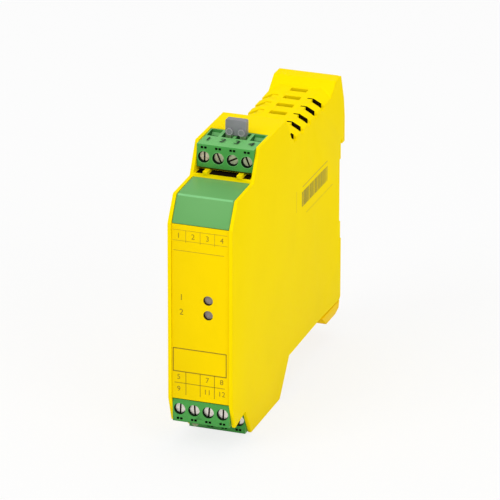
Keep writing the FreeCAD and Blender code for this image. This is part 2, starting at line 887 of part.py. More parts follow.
def make_screw(name):
    """A slotted terminal screw, drawn from its head's face along +Y."""
    body = new_body(name)
    sketch = new_sketch(body, name + "Profile", "XY", 0)
    tip = S.bar_start - S.screw_sink - S.fit_gap
    draw_polygon(sketch, [
        (0, 0),
        (S.head_radius - S.head_bevel, 0),
        (S.head_radius, S.head_bevel),
        (S.head_radius, S.head_thick),
        (S.shank_radius, S.head_thick),
        (S.shank_radius, tip - S.head_bevel),
        (S.shank_radius - S.head_bevel, tip),
        (0, tip),
    ])
    turned = body.newObject("PartDesign::Revolution", name + "Turned")
    turned.Profile = sketch
    turned.ReferenceAxis = (sketch, ["V_Axis"])
    turned.Angle = 360
    body.Tip = turned
    half = S.drive_slot / 2
    reach = S.head_radius + 1
    pocket(body, name + "DriveSlot", "XZ", -1, S.drive_slot_deep,
           [rectangle(-half, -reach, half, reach)])
    return body


def make_cage(name):
    """A clamp cage: threaded front wall, two sides and the wall that pulls on the wire."""
    body = new_body(name)
    half = S.cage_width / 2
    tall = S.cage_height / 2
    pad(body, name + "Block", "XY", -tall, tall, [rectangle(-half, 0, half, S.cage_length)])
    pocket(body, name + "Mouth", "XY", -tall - 1, tall + 1, [rectangle(
        S.cage_side - half, S.cage_front, half - S.cage_side, S.cage_length - S.cage_back)])
    pocket(body, name + "Thread", "XZ", -1, S.cage_front + S.fit_gap,
           circles=[(0, 0, S.shank_radius + S.thread_gap)])
    return body


def make_header(name):
    """The board header that takes the plug's nose; four pins pass its back wall."""
    body = new_body(name)
    half = S.header_width / 2
    pad(body, name + "Block", "YZ", -half, half, [
        rectangle(S.header_start, -S.header_bottom, S.header_end, -S.header_top)])
    inner = S.header_inner_width / 2
    pocket(body, name + "Mouth", "YZ", -inner, inner, [rectangle(
        S.header_start - 1, -S.header_inner_bottom,
        S.header_end - S.header_back, -S.header_inner_top)])
    pin = S.pin_size / 2
    first = pole_x(0)
    hole = pocket(body, name + "PinHole", "XZ", S.header_end - S.header_back - 1,
                  S.header_end + 1, [rectangle(first - pin, -S.pin_level - pin,
                                               first + pin, -S.pin_level + pin)])
    pattern_along_x(body, name + "PinRow", [hole], S.pole_pitch, POLES)
    return body


def make_pins(name, upper):
    """Four square pins, each bent towards the circuit board a step further back."""
    body = new_body(name)
    side = 1 if upper else -1
    half = S.pin_size / 2 * side
    board_face = (S.board_thick - S.board_side) * side
    for pole in range(POLES):
        x = pole_x(pole)
        from_board = pole if upper else POLES - 1 - pole
        bend = S.pin_bend_first + S.pin_bend_step * from_board
        outline = [
            (x - half, S.pin_start),
            (x + half, S.pin_start),
            (x + half, bend + S.pin_size),
            (board_face, bend + S.pin_size),
            (board_face, bend),
            (x - half, bend),
        ]
        pad(body, f"{name}Pin{pole + 1}", "XY", -S.pin_level - S.pin_size / 2,
            -S.pin_level + S.pin_size / 2, [outline])
    return body


# Each plug: name, face depth, outer edge height, whether it is the upper one, and
# for each pole the drive slot's angle and whether the cage is pulled up on the bridge.
PLUGS = [
    ("top", S.top_plug_depth, S.top_plug_height, True,
     [(2, False), (-24, True), (62, True), (-22, False)]),
    ("front", S.front_plug_depth, S.front_plug_height, False,
     [(3, False), (-4, False), (8, False), (-2, False)]),
    ("rear", S.rear_plug_depth, S.rear_plug_height, False,
     [(30, False), (-15, False), (5, False), (-35, False)]),
]


def make_plugs():
    """The three plugs with their headers, screws and cages."""
    clamped = S.prong_depth + S.prong_thick + S.fit_gap - S.cage_length + S.cage_back
    for plug, face, edge, upper, poles in PLUGS:
        title = plug.capitalize()
        placed = [
            (make_plug_housing(title + "Plug"), plug + "_plug"),
            (make_contact_bars(title + "Bars"), plug + "_contact_bars"),
            (make_header(title + "Header"), plug + "_header"),
            (make_pins(title + "Pins", upper), plug + "_header_pins"),
        ]
        for thing, label in placed:
            if not upper:
                turn_about_y(thing, 180)
            plug_place(thing, face, edge, upper)
            finish(thing, label)
        for number, (angle, pulled) in enumerate(poles, start=1):
            x = pole_x(number - 1)
            screw = make_screw(f"{title}Screw{number}")
            turn_about_y(screw, angle if upper else 180 + angle)
            plug_place(screw, face, edge, upper, x, S.screw_sink, S.screw_drop)
            finish(screw, f"{plug}_screw_{number}")
            cage = make_cage(f"{title}Cage{number}")
            inward = clamped if pulled else S.cage_front_open
            plug_place(cage, face, edge, upper, x, inward, S.screw_drop)
            finish(cage, f"{plug}_cage_{number}")


def make_bridge():
    """The insertion bridge in the two middle poles: a moulded grip on one bent prong pair."""
    grip = new_body("BridgeGrip")
    half = S.bridge_width / 2
    middle = (S.funnel_inner_start + S.funnel_inner_end) / 2
    low = S.plug_rise + S.fit_gap
    high = low + S.bridge_height
    corner = S.bridge_corner
    front = middle - S.bridge_thick / 2
    rear = middle + S.bridge_thick / 2
    pad(grip, "GripPlate", "XZ", front, rear, [[
        (-half, low),
        (half, low),
        (half, high - corner),
        (half - corner, high),
        (corner - half, high),
        (-half, high - corner),
    ]])
    boss_level = low + S.bridge_boss_radius
    for label, pole in (("Left", 1), ("Right", 2)):
        pad(grip, f"GripBoss{label}", "XZ", front - S.bridge_boss_rise, front,
            circles=[(pole_x(pole), boss_level, S.bridge_boss_radius)])
    plug_place(grip, S.top_plug_depth, S.top_plug_height, True)
    finish(grip, "bridge_grip")
    prongs = new_body("BridgeProngs")
    prong_half = S.prong_width / 2
    for pole in (1, 2):
        x = pole_x(pole)
        pad(prongs, f"Prong{pole}", "XZ", S.prong_depth, S.prong_depth + S.prong_thick, [
            rectangle(x - prong_half, -S.prong_reach, x + prong_half, low)])
    plug_place(prongs, S.top_plug_depth, S.top_plug_height, True)
    finish(prongs, "bridge_prongs")


def board_outline():
    """The circuit board, with one tongue behind each header's pins."""
    tongue = S.pin_bend_first - S.pin_size / 2
    top_front = S.top_plug_depth + tongue
    pin_above = S.top_plug_height - S.pin_level + S.pin_size * 2
    low_front = S.front_plug_depth + tongue
    rear_front = S.rear_plug_depth + tongue
    front_low = S.front_plug_height + S.pin_level - S.pin_size * 3
    rear_low = S.rear_plug_height + S.pin_level - S.pin_size * 2
    ridge_back = S.ridge_depth - S.rim_wall
    return side_points([
        (S.board_front_depth, S.board_low_height),
        (S.board_front_depth, S.front_high_height),
        (S.step_depth, S.board_top_height - S.rim_wall),
        (S.step_depth + S.rim_wall * 2, S.board_top_height),
        (top_front, S.board_top_height),
        (top_front, pin_above),
        (ridge_back, pin_above),
        (S.valley_depth - S.rim_wall * 2, S.board_top_height + S.rim_wall),
        (S.board_rear_depth, S.board_top_height + S.rim_wall),
        (S.board_rear_depth, S.heel_height + S.rim_wall),
        (S.belly_front_depth, S.heel_height + S.rim_wall),
        (S.skirt_depth - S.rim_wall, rear_low),
        (rear_front, rear_low),
        (rear_front, front_low),
        (low_front, front_low),
        (low_front, S.board_low_height),
    ])


def make_board():
    board_outer = -S.board_side
    board_face = board_outer + S.board_thick
    board = prism("CircuitBoard", "YZ", board_outer, board_face, [board_outline()])
    finish(board, "circuit_board")
    for number in range(2):
        front = S.relay_first_depth + (S.relay_length + S.relay_gap) * number
        relay = prism(f"SealedRelay{number + 1}", "YZ", board_face, board_face + S.relay_thick, [
            side_points(rectangle(front, S.relay_low_height, front + S.relay_length,
                                  S.relay_low_height + S.relay_height))])
        finish(relay, f"sealed_relay_{number + 1}")
    capacitor = prism("Capacitor", "YZ", board_face, board_face + S.capacitor_length, circles=[
        (behind(S.capacitor_depth), above(S.capacitor_height), S.capacitor_radius)])
    finish(capacitor, "capacitor")
    coil = prism("SupplyCoil", "YZ", board_face, board_face + S.coil_thick, [side_points(
        rectangle(S.coil_depth, S.coil_height, S.coil_depth + S.coil_size,
                  S.coil_height + S.coil_size))])
    finish(coil, "supply_coil")
    chips = prism("ControlChips", "YZ", board_face, board_face + S.chip_thick, [
        side_points(rectangle(S.chip_depth, level, S.chip_depth + S.chip_size,
                              level + S.chip_size))
        for level in (S.chip_low_height, S.chip_high_height)])
    finish(chips, "control_chips")
    led_half = S.led_size / 2
    levels = (("upper", S.light_upper_height), ("lower", S.light_lower_height))
    leds = prism("StatusLeds", "YZ", board_face, board_face + S.led_thick, [
        side_points(rectangle(S.light_bend_depth - S.light_radius * 0.8, level - led_half * 0.8,
                              S.light_bend_depth + S.light_radius * 0.8,
                              level + led_half * 0.8))
        for _, level in levels])
    finish(leds, "status_leds")
    for label, level in levels:
        guide = new_body(f"LightGuide{label.capitalize()}")
        pad(guide, f"Guide{label}Rod", "XZ", behind(S.light_sink), behind(S.light_bend_depth),
            circles=[(S.light_side, above(level), S.light_radius)])
        pad(guide, f"Guide{label}Leg", "YZ", board_face + S.led_thick + S.fit_gap, S.light_side,
            circles=[(behind(S.light_bend_depth), above(level), S.light_radius)])
        finish(guide, f"light_guide_{label}")


def make_latch():
    """The foot latch, which slides down against its spring to free the rail."""
    latch = new_body("FootLatch")
    flange_half = S.latch_width / 2
    back_low = S.latch_sole_height + S.heel_bevel
    pad(latch, "LatchFoot", "YZ", -flange_half, flange_half, [side_points([
        (S.latch_front_depth, S.latch_top_height),
        (S.latch_toe_depth, S.latch_sole_height),
        (S.latch_heel_depth, S.latch_sole_height),
        (S.latch_back_depth - S.heel_bevel, back_low),
        (S.latch_back_depth, S.latch_top_height),
    ])])
    rail_low = S.rail_middle_height - S.rail_size / 2
    lip_front = S.rail_depth + S.rail_flange + S.rail_gap
    seat = rail_low - S.rail_gap
    stem_half = S.stem_width / 2
    pad(latch, "LatchStem", "YZ", -stem_half, stem_half, [side_points([
        (S.stem_front_depth, S.latch_top_height - S.fit_gap),
        (S.stem_rear_depth, S.latch_top_height - S.fit_gap),
        (S.stem_rear_depth, seat - S.nose_lip * 2),
        (lip_front + S.nose_lip, seat - S.nose_lip),
        (lip_front + S.nose_lip, seat),
        (lip_front, seat + S.nose_rise),
        (lip_front, seat),
        (S.stem_front_depth, seat),
    ])])
    window_half = S.window_width / 2
    pocket(latch, "LatchWindow", "XZ", behind(S.stem_front_depth - 1),
           behind(S.stem_rear_depth + 1), [rectangle(
               -window_half, above(S.window_low_height),
               window_half, above(S.window_high_height))])
    finish(latch, "foot_latch")
    spring_low = S.window_low_height + S.slip_gap + S.ledge_thick + S.spring_wire / 2
    spring_high = S.window_high_height - S.spring_wire / 2
    coil_middle = (S.stem_front_depth + S.stem_rear_depth) / 2
    helix = document.addObject("Part::Helix", "SpringPath")
    bind(helix, "Height", spring_high - spring_low - S.fit_gap * 2)
    bind(helix, "Pitch", (spring_high - spring_low - S.fit_gap * 2) / S.spring_turns)
    bind(helix, "Radius", S.spring_radius)
    section = document.addObject("Part::Circle", "SpringSection")
    bind(section, "Radius", S.spring_wire / 2)
    bind(section, "Placement.Base.x", S.spring_radius)
    section.Placement = FreeCAD.Placement(
        section.Placement.Base, FreeCAD.Rotation(FreeCAD.Vector(1, 0, 0), 90))
    spring = document.addObject("Part::Sweep", "LatchSpring")
    spring.Sections = [section]
    spring.Spine = (helix, ["Edge1"])
    spring.Solid = True
    spring.Frenet = True
    bind(spring, "Placement.Base.y", behind(coil_middle))
    bind(spring, "Placement.Base.z", above(spring_low + S.fit_gap))
    finish(spring, "latch_spring")


def check_document():
    """Stop on any object that failed or any sub-part that isn't a sound solid."""
    for thing in document.Objects:
        if "Invalid" in thing.State or "Error" in thing.State:
            raise RuntimeError(f"{thing.Name} failed: {thing.State}")
    for label, thing in SUBPARTS:
        shape = thing.Shape
        if shape.isNull() or not shape.isValid() or not shape.Solids:
            raise RuntimeError(f"{label} has no sound solid")


def write_parts():
    os.makedirs("parts", exist_ok=True)
    for label, thing in SUBPARTS:
        thing.Shape.exportStep(os.path.join("parts", label + ".step"))


make_housing()
make_front()
make_plugs()
make_bridge()
make_board()
make_latch()
document.recompute()
check_document()
write_parts()
for label, thing in SUBPARTS:
    box = thing.Shape.BoundBox
    print(f"{label:22s} solids {len(thing.Shape.Solids)} volume {thing.Shape.Volume:9.2f} "
          f"x {box.XMin:7.2f} {box.XMax:7.2f} y {box.YMin:8.2f} {box.YMax:7.2f} "
          f"z {box.ZMin:7.2f} {box.ZMax:7.2f}")
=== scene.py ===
import json
import math

import bmesh
import bpy
from mathutils import Matrix, Vector


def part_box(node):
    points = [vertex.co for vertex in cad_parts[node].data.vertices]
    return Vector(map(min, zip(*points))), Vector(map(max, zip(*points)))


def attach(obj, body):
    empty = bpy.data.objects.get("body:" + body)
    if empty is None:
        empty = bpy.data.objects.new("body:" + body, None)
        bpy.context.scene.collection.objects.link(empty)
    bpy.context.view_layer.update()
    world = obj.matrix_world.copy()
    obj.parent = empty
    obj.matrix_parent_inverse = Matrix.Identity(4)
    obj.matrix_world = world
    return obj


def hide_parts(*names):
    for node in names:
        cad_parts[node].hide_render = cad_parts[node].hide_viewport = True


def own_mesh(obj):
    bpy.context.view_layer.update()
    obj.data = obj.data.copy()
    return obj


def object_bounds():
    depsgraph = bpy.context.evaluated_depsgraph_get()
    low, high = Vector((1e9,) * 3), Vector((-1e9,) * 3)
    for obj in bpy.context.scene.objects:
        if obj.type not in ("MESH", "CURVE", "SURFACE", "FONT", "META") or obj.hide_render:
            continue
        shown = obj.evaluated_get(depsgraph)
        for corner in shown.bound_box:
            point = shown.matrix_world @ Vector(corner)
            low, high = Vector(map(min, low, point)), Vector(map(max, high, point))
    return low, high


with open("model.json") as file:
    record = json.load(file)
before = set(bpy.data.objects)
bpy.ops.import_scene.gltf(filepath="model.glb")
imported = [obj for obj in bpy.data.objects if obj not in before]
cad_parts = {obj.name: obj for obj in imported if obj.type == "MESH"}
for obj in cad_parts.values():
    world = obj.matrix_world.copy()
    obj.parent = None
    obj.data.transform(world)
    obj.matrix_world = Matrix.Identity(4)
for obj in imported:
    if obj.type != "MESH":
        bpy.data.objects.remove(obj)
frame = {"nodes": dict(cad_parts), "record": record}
cad_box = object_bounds()

# Places on the relay: X across, depth behind the front face, height above its lowest point, in mm.
# The frame's origin is RAIL_DEPTH behind the front face and RAIL_HEIGHT above the lowest point.
MM = 0.001
RAIL_DEPTH = 110.5
RAIL_HEIGHT = 53.7
HALF_WIDTH = 11.25
POLES = 4
POLE_PITCH = 5.0
VENT_FIRST = 69.5
VENT_PITCH = 7.15


def at(x, depth, height):
    """A place in the frame, in metres, from its X, depth and height in mm"""
    return Vector((x * MM, (depth - RAIL_DEPTH) * MM, (height - RAIL_HEIGHT) * MM))


def pole_x(pole):
    """How far right the middle of a pole is, in mm; the poles count from 0 at the left"""
    return POLE_PITCH * (pole - (POLES - 1) / 2)


def nearest_pole(x):
    """How far a place is to the side of the nearest pole's middle, in mm"""
    return min(abs(x - pole_x(pole)) for pole in range(POLES))


def middle_height(cad_name):
    """The height of the middle of a CAD node, in metres above the frame's origin"""
    low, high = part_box(cad_name)
    return (low.z + high.z) / 2


def paint(red, green, blue):
    """A colour given as 0 to 255 on a screen, as Blender counts it"""
    def channel(value):
        value /= 255
        return value / 12.92 if value <= 0.04045 else ((value + 0.055) / 1.055) ** 2.4
    return (channel(red), channel(green), channel(blue), 1.0)


# Objects and meshes
def add_object(name, data):
    """A new object with the given data, linked into the scene"""
    made = bpy.data.objects.new(name, data)
    bpy.context.scene.collection.objects.link(made)
    return made


def mesh_from(shape, name, finishes=()):
    """The mesh of a bmesh, which this frees, with its finishes"""
    mesh = bpy.data.meshes.new(name)
    shape.to_mesh(mesh)
    shape.free()
    for finish in finishes:
        mesh.materials.append(finish)
    return mesh


def apply_modifiers(piece):
    """Leaves a piece with the plain mesh that its modifiers make of it"""
    bpy.context.view_layer.update()
    graph = bpy.context.evaluated_depsgraph_get()
    made = bpy.data.meshes.new_from_object(piece.evaluated_get(graph))
    piece.modifiers.clear()
    piece.data = made


# Node helpers
def node(tree, kind, inputs=None, **settings):
    """A new node; an input given as another node's output is linked, any other is set"""
    made = tree.nodes.new(kind)
    for name, value in settings.items():
        setattr(made, name, value)
    for name, value in (inputs or {}).items():
        if hasattr(value, "is_output"):
            tree.links.new(value, made.inputs[name])
        else:
            made.inputs[name].default_value = value
    return made


def cleared_nodes(owner):
    """The emptied node tree of a material or a world"""
    owner.use_nodes = True
    owner.node_tree.nodes.clear()
    return owner.node_tree


def group_tree(name, kind, inputs, outputs):
    """A node group, with the sockets that its own nodes link from and to"""
    tree = bpy.data.node_groups.new(name, kind)
    for label, socket, value in inputs:
        made = tree.interface.new_socket(label, in_out="INPUT", socket_type=socket)
        if value is not None:
            made.default_value = value
    for label, socket in outputs:
        tree.interface.new_socket(label, in_out="OUTPUT", socket_type=socket)
    given = tree.nodes.new("NodeGroupInput")
    result = tree.nodes.new("NodeGroupOutput")
    return tree, given.outputs, result.inputs


def maths(tree, operation, first, second):
    made = node(tree, "ShaderNodeMath", {0: first, 1: second}, operation=operation)
    return made.outputs[0]


def scaled(tree, vector, factor):
    made = node(tree, "ShaderNodeVectorMath", {0: vector, "Scale": factor}, operation="SCALE")
    return made.outputs[0]


def noise(tree, place, scale, detail):
    """Cloudy noise of 0 to 1"""
    made = node(tree, "ShaderNodeTexNoise", {"Vector": place, "Scale": scale, "Detail": detail})
    return made.outputs["Fac"]


def swing(tree, value, depth):
    """How far a noise of 0 to 1 is from its middle, times a depth"""
    return maths(tree, "MULTIPLY", maths(tree, "SUBTRACT", value, 0.5), depth)


def per(tree, size):
    """One over a size, as the scale that gives a texture that size"""
    return maths(tree, "DIVIDE", 1.0, size)


# Shader effects that several materials share
MM_PER_METRE = 1000.0
GLOSS_PATCHES_PER_MM = 0.35
SPOT_RANGE = (0.45, 0.7)
STREAK_SHARE = 0.35
SPOT_SHARE = 0.5
DULL_ROUGHNESS = 0.25
PAD_RADIUS = 0.14


def moulded_surface():
    """Moulded plastic: cloudy tone, gloss that wanders a little, fine spark-eroded grain"""
    tree, given, result = group_tree("moulded_surface", "ShaderNodeTree", [
        ("Place", "NodeSocketVector", None),
        ("Colour", "NodeSocketColor", (0.8, 0.8, 0.8, 1)),
        ("Cloud Size mm", "NodeSocketFloat", 14.0),
        ("Cloud Depth", "NodeSocketFloat", 0.05),
        ("Grain Size mm", "NodeSocketFloat", 0.25),
        ("Roughness", "NodeSocketFloat", 0.45),
        ("Gloss Wander", "NodeSocketFloat", 0.08),
    ], [("Colour", "NodeSocketColor"), ("Roughness", "NodeSocketFloat"),
        ("Grain", "NodeSocketFloat")])
    millimetres = scaled(tree, given["Place"], MM_PER_METRE)
    cloud = noise(tree, millimetres, per(tree, given["Cloud Size mm"]), detail=3.0)
    cloud_swing = swing(tree, cloud, given["Cloud Depth"])
    tone = maths(tree, "ADD", 1.0, maths(tree, "MULTIPLY", cloud_swing, 2.0))
    tree.links.new(scaled(tree, given["Colour"], tone), result["Colour"])
    gloss = noise(tree, millimetres, GLOSS_PATCHES_PER_MM, detail=2.0)
    rough = maths(tree, "ADD", given["Roughness"], swing(tree, gloss, given["Gloss Wander"]))
    tree.links.new(rough, result["Roughness"])
    grain = noise(tree, millimetres, per(tree, given["Grain Size mm"]), detail=1.0)
    tree.links.new(grain, result["Grain"])
    return tree


def drawn_metal():
    """Metal with streaks along one way and small dull spots"""
    tree, given, result = group_tree("drawn_metal", "ShaderNodeTree", [
        ("Place", "NodeSocketVector", None),
        ("Bright", "NodeSocketColor", (0.8, 0.8, 0.8, 1)),
        ("Dull", "NodeSocketColor", (0.4, 0.4, 0.4, 1)),
        ("Streaks per mm", "NodeSocketVector", (0.4, 6.0, 6.0)),
        ("Spot Size mm", "NodeSocketFloat", 1.2),
        ("Roughness", "NodeSocketFloat", 0.3),
    ], [("Colour", "NodeSocketColor"), ("Roughness", "NodeSocketFloat"),
        ("Streaks", "NodeSocketFloat")])
    millimetres = scaled(tree, given["Place"], MM_PER_METRE)
    stretched = node(tree, "ShaderNodeVectorMath",
                     {0: millimetres, 1: given["Streaks per mm"]}, operation="MULTIPLY").outputs[0]
    streaks = noise(tree, stretched, 1.0, detail=2.0)
    spots = noise(tree, millimetres, per(tree, given["Spot Size mm"]), detail=3.0)
    spot_mask = node(tree, "ShaderNodeMapRange", {
        "Value": spots, "From Min": SPOT_RANGE[0], "From Max": SPOT_RANGE[1],
        "To Min": 0.0, "To Max": 1.0}).outputs[0]
    dullness = maths(tree, "ADD", maths(tree, "MULTIPLY", streaks, STREAK_SHARE),
                     maths(tree, "MULTIPLY", spot_mask, SPOT_SHARE))
    mixed = node(tree, "ShaderNodeMix", {0: dullness, 6: given["Bright"], 7: given["Dull"]},
                 data_type="RGBA", clamp_factor=True)
    tree.links.new(mixed.outputs[2], result["Colour"])
    dulled = maths(tree, "MULTIPLY", dullness, DULL_ROUGHNESS)
    rough = maths(tree, "ADD", given["Roughness"], dulled)
    tree.links.new(rough, result["Roughness"])
    tree.links.new(streaks, result["Streaks"])
    return tree


def copper_tracks():
    """Board under green resist: tracks as a paler net, pads as small tinned dots"""
    tree, given, result = group_tree("copper_tracks", "ShaderNodeTree", [
        ("Place", "NodeSocketVector", None),
        ("Resist", "NodeSocketColor", (0.02, 0.2, 0.06, 1)),
        ("Track", "NodeSocketColor", (0.05, 0.3, 0.1, 1)),
        ("Pad", "NodeSocketColor", (0.7, 0.68, 0.6, 1)),
        ("Track Pitch mm", "NodeSocketFloat", 1.6),
        ("Pad Pitch mm", "NodeSocketFloat", 5.08),
    ], [("Colour", "NodeSocketColor"), ("Height", "NodeSocketFloat"),
        ("Pad Mask", "NodeSocketFloat")])
    parts = node(tree, "ShaderNodeSeparateXYZ", {0: given["Place"]})
    flat = node(tree, "ShaderNodeCombineXYZ", {0: parts.outputs[1], 1: parts.outputs[2]}).outputs[0]
    millimetres = scaled(tree, flat, MM_PER_METRE)
    bricks = node(tree, "ShaderNodeTexBrick", {
        "Vector": millimetres, "Scale": per(tree, given["Track Pitch mm"]),
        "Color1": (0, 0, 0, 1), "Color2": (0, 0, 0, 1), "Mortar": (1, 1, 1, 1),
        "Mortar Size": 0.12, "Mortar Smooth": 0.2, "Brick Width": 6.0, "Row Height": 1.0},
        offset=0.37, squash=1.7).outputs[0]
    cells = node(tree, "ShaderNodeTexVoronoi", {
        "Vector": millimetres, "Scale": per(tree, given["Pad Pitch mm"]),
        "Randomness": 0.55}).outputs["Distance"]
    pads = maths(tree, "LESS_THAN", cells, PAD_RADIUS)
    base = node(tree, "ShaderNodeMix", {0: bricks, 6: given["Resist"], 7: given["Track"]},
                data_type="RGBA").outputs[2]
    done = node(tree, "ShaderNodeMix", {0: pads, 6: base, 7: given["Pad"]},
                data_type="RGBA").outputs[2]
    tree.links.new(done, result["Colour"])
    tree.links.new(maths(tree, "ADD", bricks, pads), result["Height"])
    tree.links.new(pads, result["Pad Mask"])
    return tree


MOULDED = moulded_surface()
DRAWN = drawn_metal()
TRACKS = copper_tracks()


def material(name):
    """A new material, its tree, its shader, and the place on the object that its effects use"""
    made = bpy.data.materials.new(name)
    tree = cleared_nodes(made)
    shader = tree.nodes.new("ShaderNodeBsdfPrincipled")
    output = tree.nodes.new("ShaderNodeOutputMaterial")
    tree.links.new(shader.outputs[0], output.inputs["Surface"])
    place = tree.nodes.new("ShaderNodeTexCoord").outputs["Object"]
    return made, tree, shader, place


def bump(tree, shader, height, depth_mm):
    """Relief of 0 to 1, as deep as it is given in mm"""
    made = node(tree, "ShaderNodeBump", {
        "Height": height, "Distance": depth_mm * MM, "Strength": 1.0})
    tree.links.new(made.outputs[0], shader.inputs["Normal"])


def effect(tree, shader, place, group, values):
    """A shared effect with its values set and its place, colour and roughness linked"""
    made = node(tree, "ShaderNodeGroup", node_tree=group)
    tree.links.new(place, made.inputs["Place"])
    for name, value in values.items():
        made.inputs[name].default_value = value
    tree.links.new(made.outputs["Colour"], shader.inputs["Base Color"])
    if "Roughness" in made.outputs:
        tree.links.new(made.outputs["Roughness"], shader.inputs["Roughness"])
    return made


# Finishes, each given as its name and its material
def plastic(name, colour, roughness=0.42, cloud=0.035, cloud_size=16.0, grain_size=0.3,
            grain_depth=0.012, shine=0.22, coat=0.0):
    """Moulded plastic: colour as 0 to 255, cloud as a share of it, sizes and depths in mm"""
    made, tree, shader, place = material(name)
    surface = effect(tree, shader, place, MOULDED, {
        "Colour": paint(*colour), "Cloud Size mm": cloud_size, "Cloud Depth": cloud,
        "Grain Size mm": grain_size, "Roughness": roughness})
    bump(tree, shader, surface.outputs["Grain"], grain_depth)
    shader.inputs["Specular IOR Level"].default_value = shine
    shader.inputs["Coat Weight"].default_value = coat
    return name, made


def metal(name, bright, dull, streaks=(0.4, 6.0, 6.0), roughness=0.28, spot=1.2):
    """Drawn metal: colours as 0 to 255, streaks per mm along X, Y and Z, dull spots in mm"""
    made, tree, shader, place = material(name)
    surface = effect(tree, shader, place, DRAWN, {
        "Bright": paint(*bright), "Dull": paint(*dull), "Streaks per mm": streaks,
        "Spot Size mm": spot, "Roughness": roughness})
    bump(tree, shader, surface.outputs["Streaks"], depth_mm=0.008)
    shader.inputs["Metallic"].default_value = 1.0
    return name, made


def board(name):
    """Circuit board with its tracks and pads"""
    made, tree, shader, place = material(name)
    surface = effect(tree, shader, place, TRACKS, {
        "Resist": paint(16, 88, 48), "Track": paint(38, 120, 66), "Pad": paint(205, 200, 186)})
    tree.links.new(surface.outputs["Pad Mask"], shader.inputs["Metallic"])
    shader.inputs["Roughness"].default_value = 0.3
    bump(tree, shader, surface.outputs["Height"], depth_mm=0.03)
    return name, made


def clear_guide(name):
    """Smoky clear guide with a slightly cloudy end"""
    made, tree, shader, place = material(name)
    surface = effect(tree, shader, place, MOULDED, {
        "Colour": paint(178, 162, 150), "Cloud Size mm": 1.5, "Cloud Depth": 0.12,
        "Roughness": 0.22})
    bump(tree, shader, surface.outputs["Grain"], depth_mm=0.004)
    shader.inputs["Transmission Weight"].default_value = 0.3
    return name, made


# One finish for each material slot of the record
FINISHES = dict((
    plastic("housing_yellow", (255, 226, 0), roughness=0.55, shine=0.015),
    plastic("panel_yellow", (252, 217, 0), roughness=0.5, shine=0.03),
    plastic("cover_green", (105, 170, 98), roughness=0.36, shine=0.12, cloud=0.025,
            cloud_size=9.0, grain_size=0.2, grain_depth=0.006),
    plastic("plug_green", (72, 158, 72), roughness=0.4, cloud=0.05, cloud_size=5.0,
            grain_size=0.2, grain_depth=0.008),
    plastic("header_green", (62, 132, 70), roughness=0.45, cloud=0.05, cloud_size=5.0),
    board("board_green"),
    plastic("relay_black", (34, 34, 37), roughness=0.5, cloud=0.12, cloud_size=4.0,
            grain_size=0.4, grain_depth=0.03),
    plastic("capacitor_sleeve", (28, 34, 84), roughness=0.25, cloud=0.1, cloud_size=2.0,
            coat=0.4),
    plastic("coil_grey", (78, 78, 80), roughness=0.62, cloud=0.16, cloud_size=1.6,
            grain_size=0.5, grain_depth=0.06),
    plastic("chip_black", (30, 30, 32), roughness=0.55, cloud=0.1, cloud_size=1.0,
            grain_size=0.12, grain_depth=0.02),
    plastic("led_white", (236, 234, 218), roughness=0.2, cloud=0.05, cloud_size=0.8, coat=0.5),
    clear_guide("light_guide"),
    metal("spring_steel", (205, 205, 210), (120, 120, 126), streaks=(3.0, 3.0, 0.5)),
    plastic("latch_orange", (255, 212, 0), roughness=0.46, shine=0.04),
    plastic("bridge_grey", (137, 136, 141), roughness=0.38, cloud=0.06, cloud_size=2.5,
            grain_size=0.2),
    metal("contact_tin", (226, 222, 208), (160, 156, 146)),
    metal("screw_steel", (222, 214, 196), (168, 158, 138), streaks=(5.0, 0.4, 5.0),
          roughness=0.34, spot=0.8),
    metal("cage_steel", (200, 200, 198), (130, 130, 130)),
))

# Finishes of prints, and colours of painted shade in hollows and of painted light on lit edges and
# faces
EXTRA = dict((
    plastic("print_dark", (154, 126, 2), roughness=0.5, cloud=0.2, cloud_size=0.7),
    plastic("print_faint", (196, 166, 6), roughness=0.5, cloud=0.15, cloud_size=0.7),
    plastic("print_black", (12, 32, 16), roughness=0.5, cloud=0.2, cloud_size=0.6),
    # Paler green of painted highlight for the rims round the upper screw wells
    plastic("rim_highlight_green", (104, 182, 104), roughness=0.34, cloud=0.06, cloud_size=1.5),
    # Paler green of painted light for the upper plug's numbered face, which looks up
    plastic("painted_light_green", (110, 186, 106), roughness=0.42, cloud=0.05, cloud_size=5.0,
            grain_size=0.2, grain_depth=0.008),
    # Darker green of painted shade for the plugs' wire entries
    plastic("entry_shade_green", (38, 104, 46), roughness=0.5, cloud=0.08, cloud_size=3.0),
    plastic("well_shade", (20, 46, 22), roughness=0.6, cloud=0.2, cloud_size=1.0, shine=0.1),
    # Black of painted shade, for slot walls and sheets where the inside looks dark
    plastic("painted_shade_black", (24, 14, 4), roughness=0.8, cloud=0.2, cloud_size=2.0, shine=0.05),
    plastic("code_dark", (88, 74, 4), roughness=0.5, cloud=0.2, cloud_size=0.7),
    # Paler green of painted highlight for the cap's rounded bend
    plastic("bend_highlight_green", (126, 198, 126), roughness=0.3, cloud=0.03, cloud_size=4.0),
    plastic("nub_grey", (134, 148, 110), roughness=0.4, cloud=0.1, cloud_size=1.0),
    plastic("slot_shade", (62, 46, 26), roughness=0.6, cloud=0.3, cloud_size=0.5),
    # Paler grey of painted highlight for the bridge's rounded edges and boss rims
    plastic("bridge_edge_highlight", (186, 180, 186), roughness=0.34, cloud=0.05, cloud_size=1.2),
    # Paler copy of the screw steel, as painted light, for the heads on the plugs that look down
    metal("lit_screw_steel", (240, 234, 226), (196, 188, 176), streaks=(5.0, 0.4, 5.0),
          roughness=0.36, spot=0.8),
))

SLOT_OF = {part["node"]: part["material_slot"] for part in frame["record"]["subparts"]}
BODY_OF = {name: body for body, members in frame["record"]["behaviour"]["bodies"].items()
           for name in members}
for name, cad in frame["nodes"].items():
    cad.data.materials.clear()
    cad.data.materials.append(FINISHES[SLOT_OF[name]])

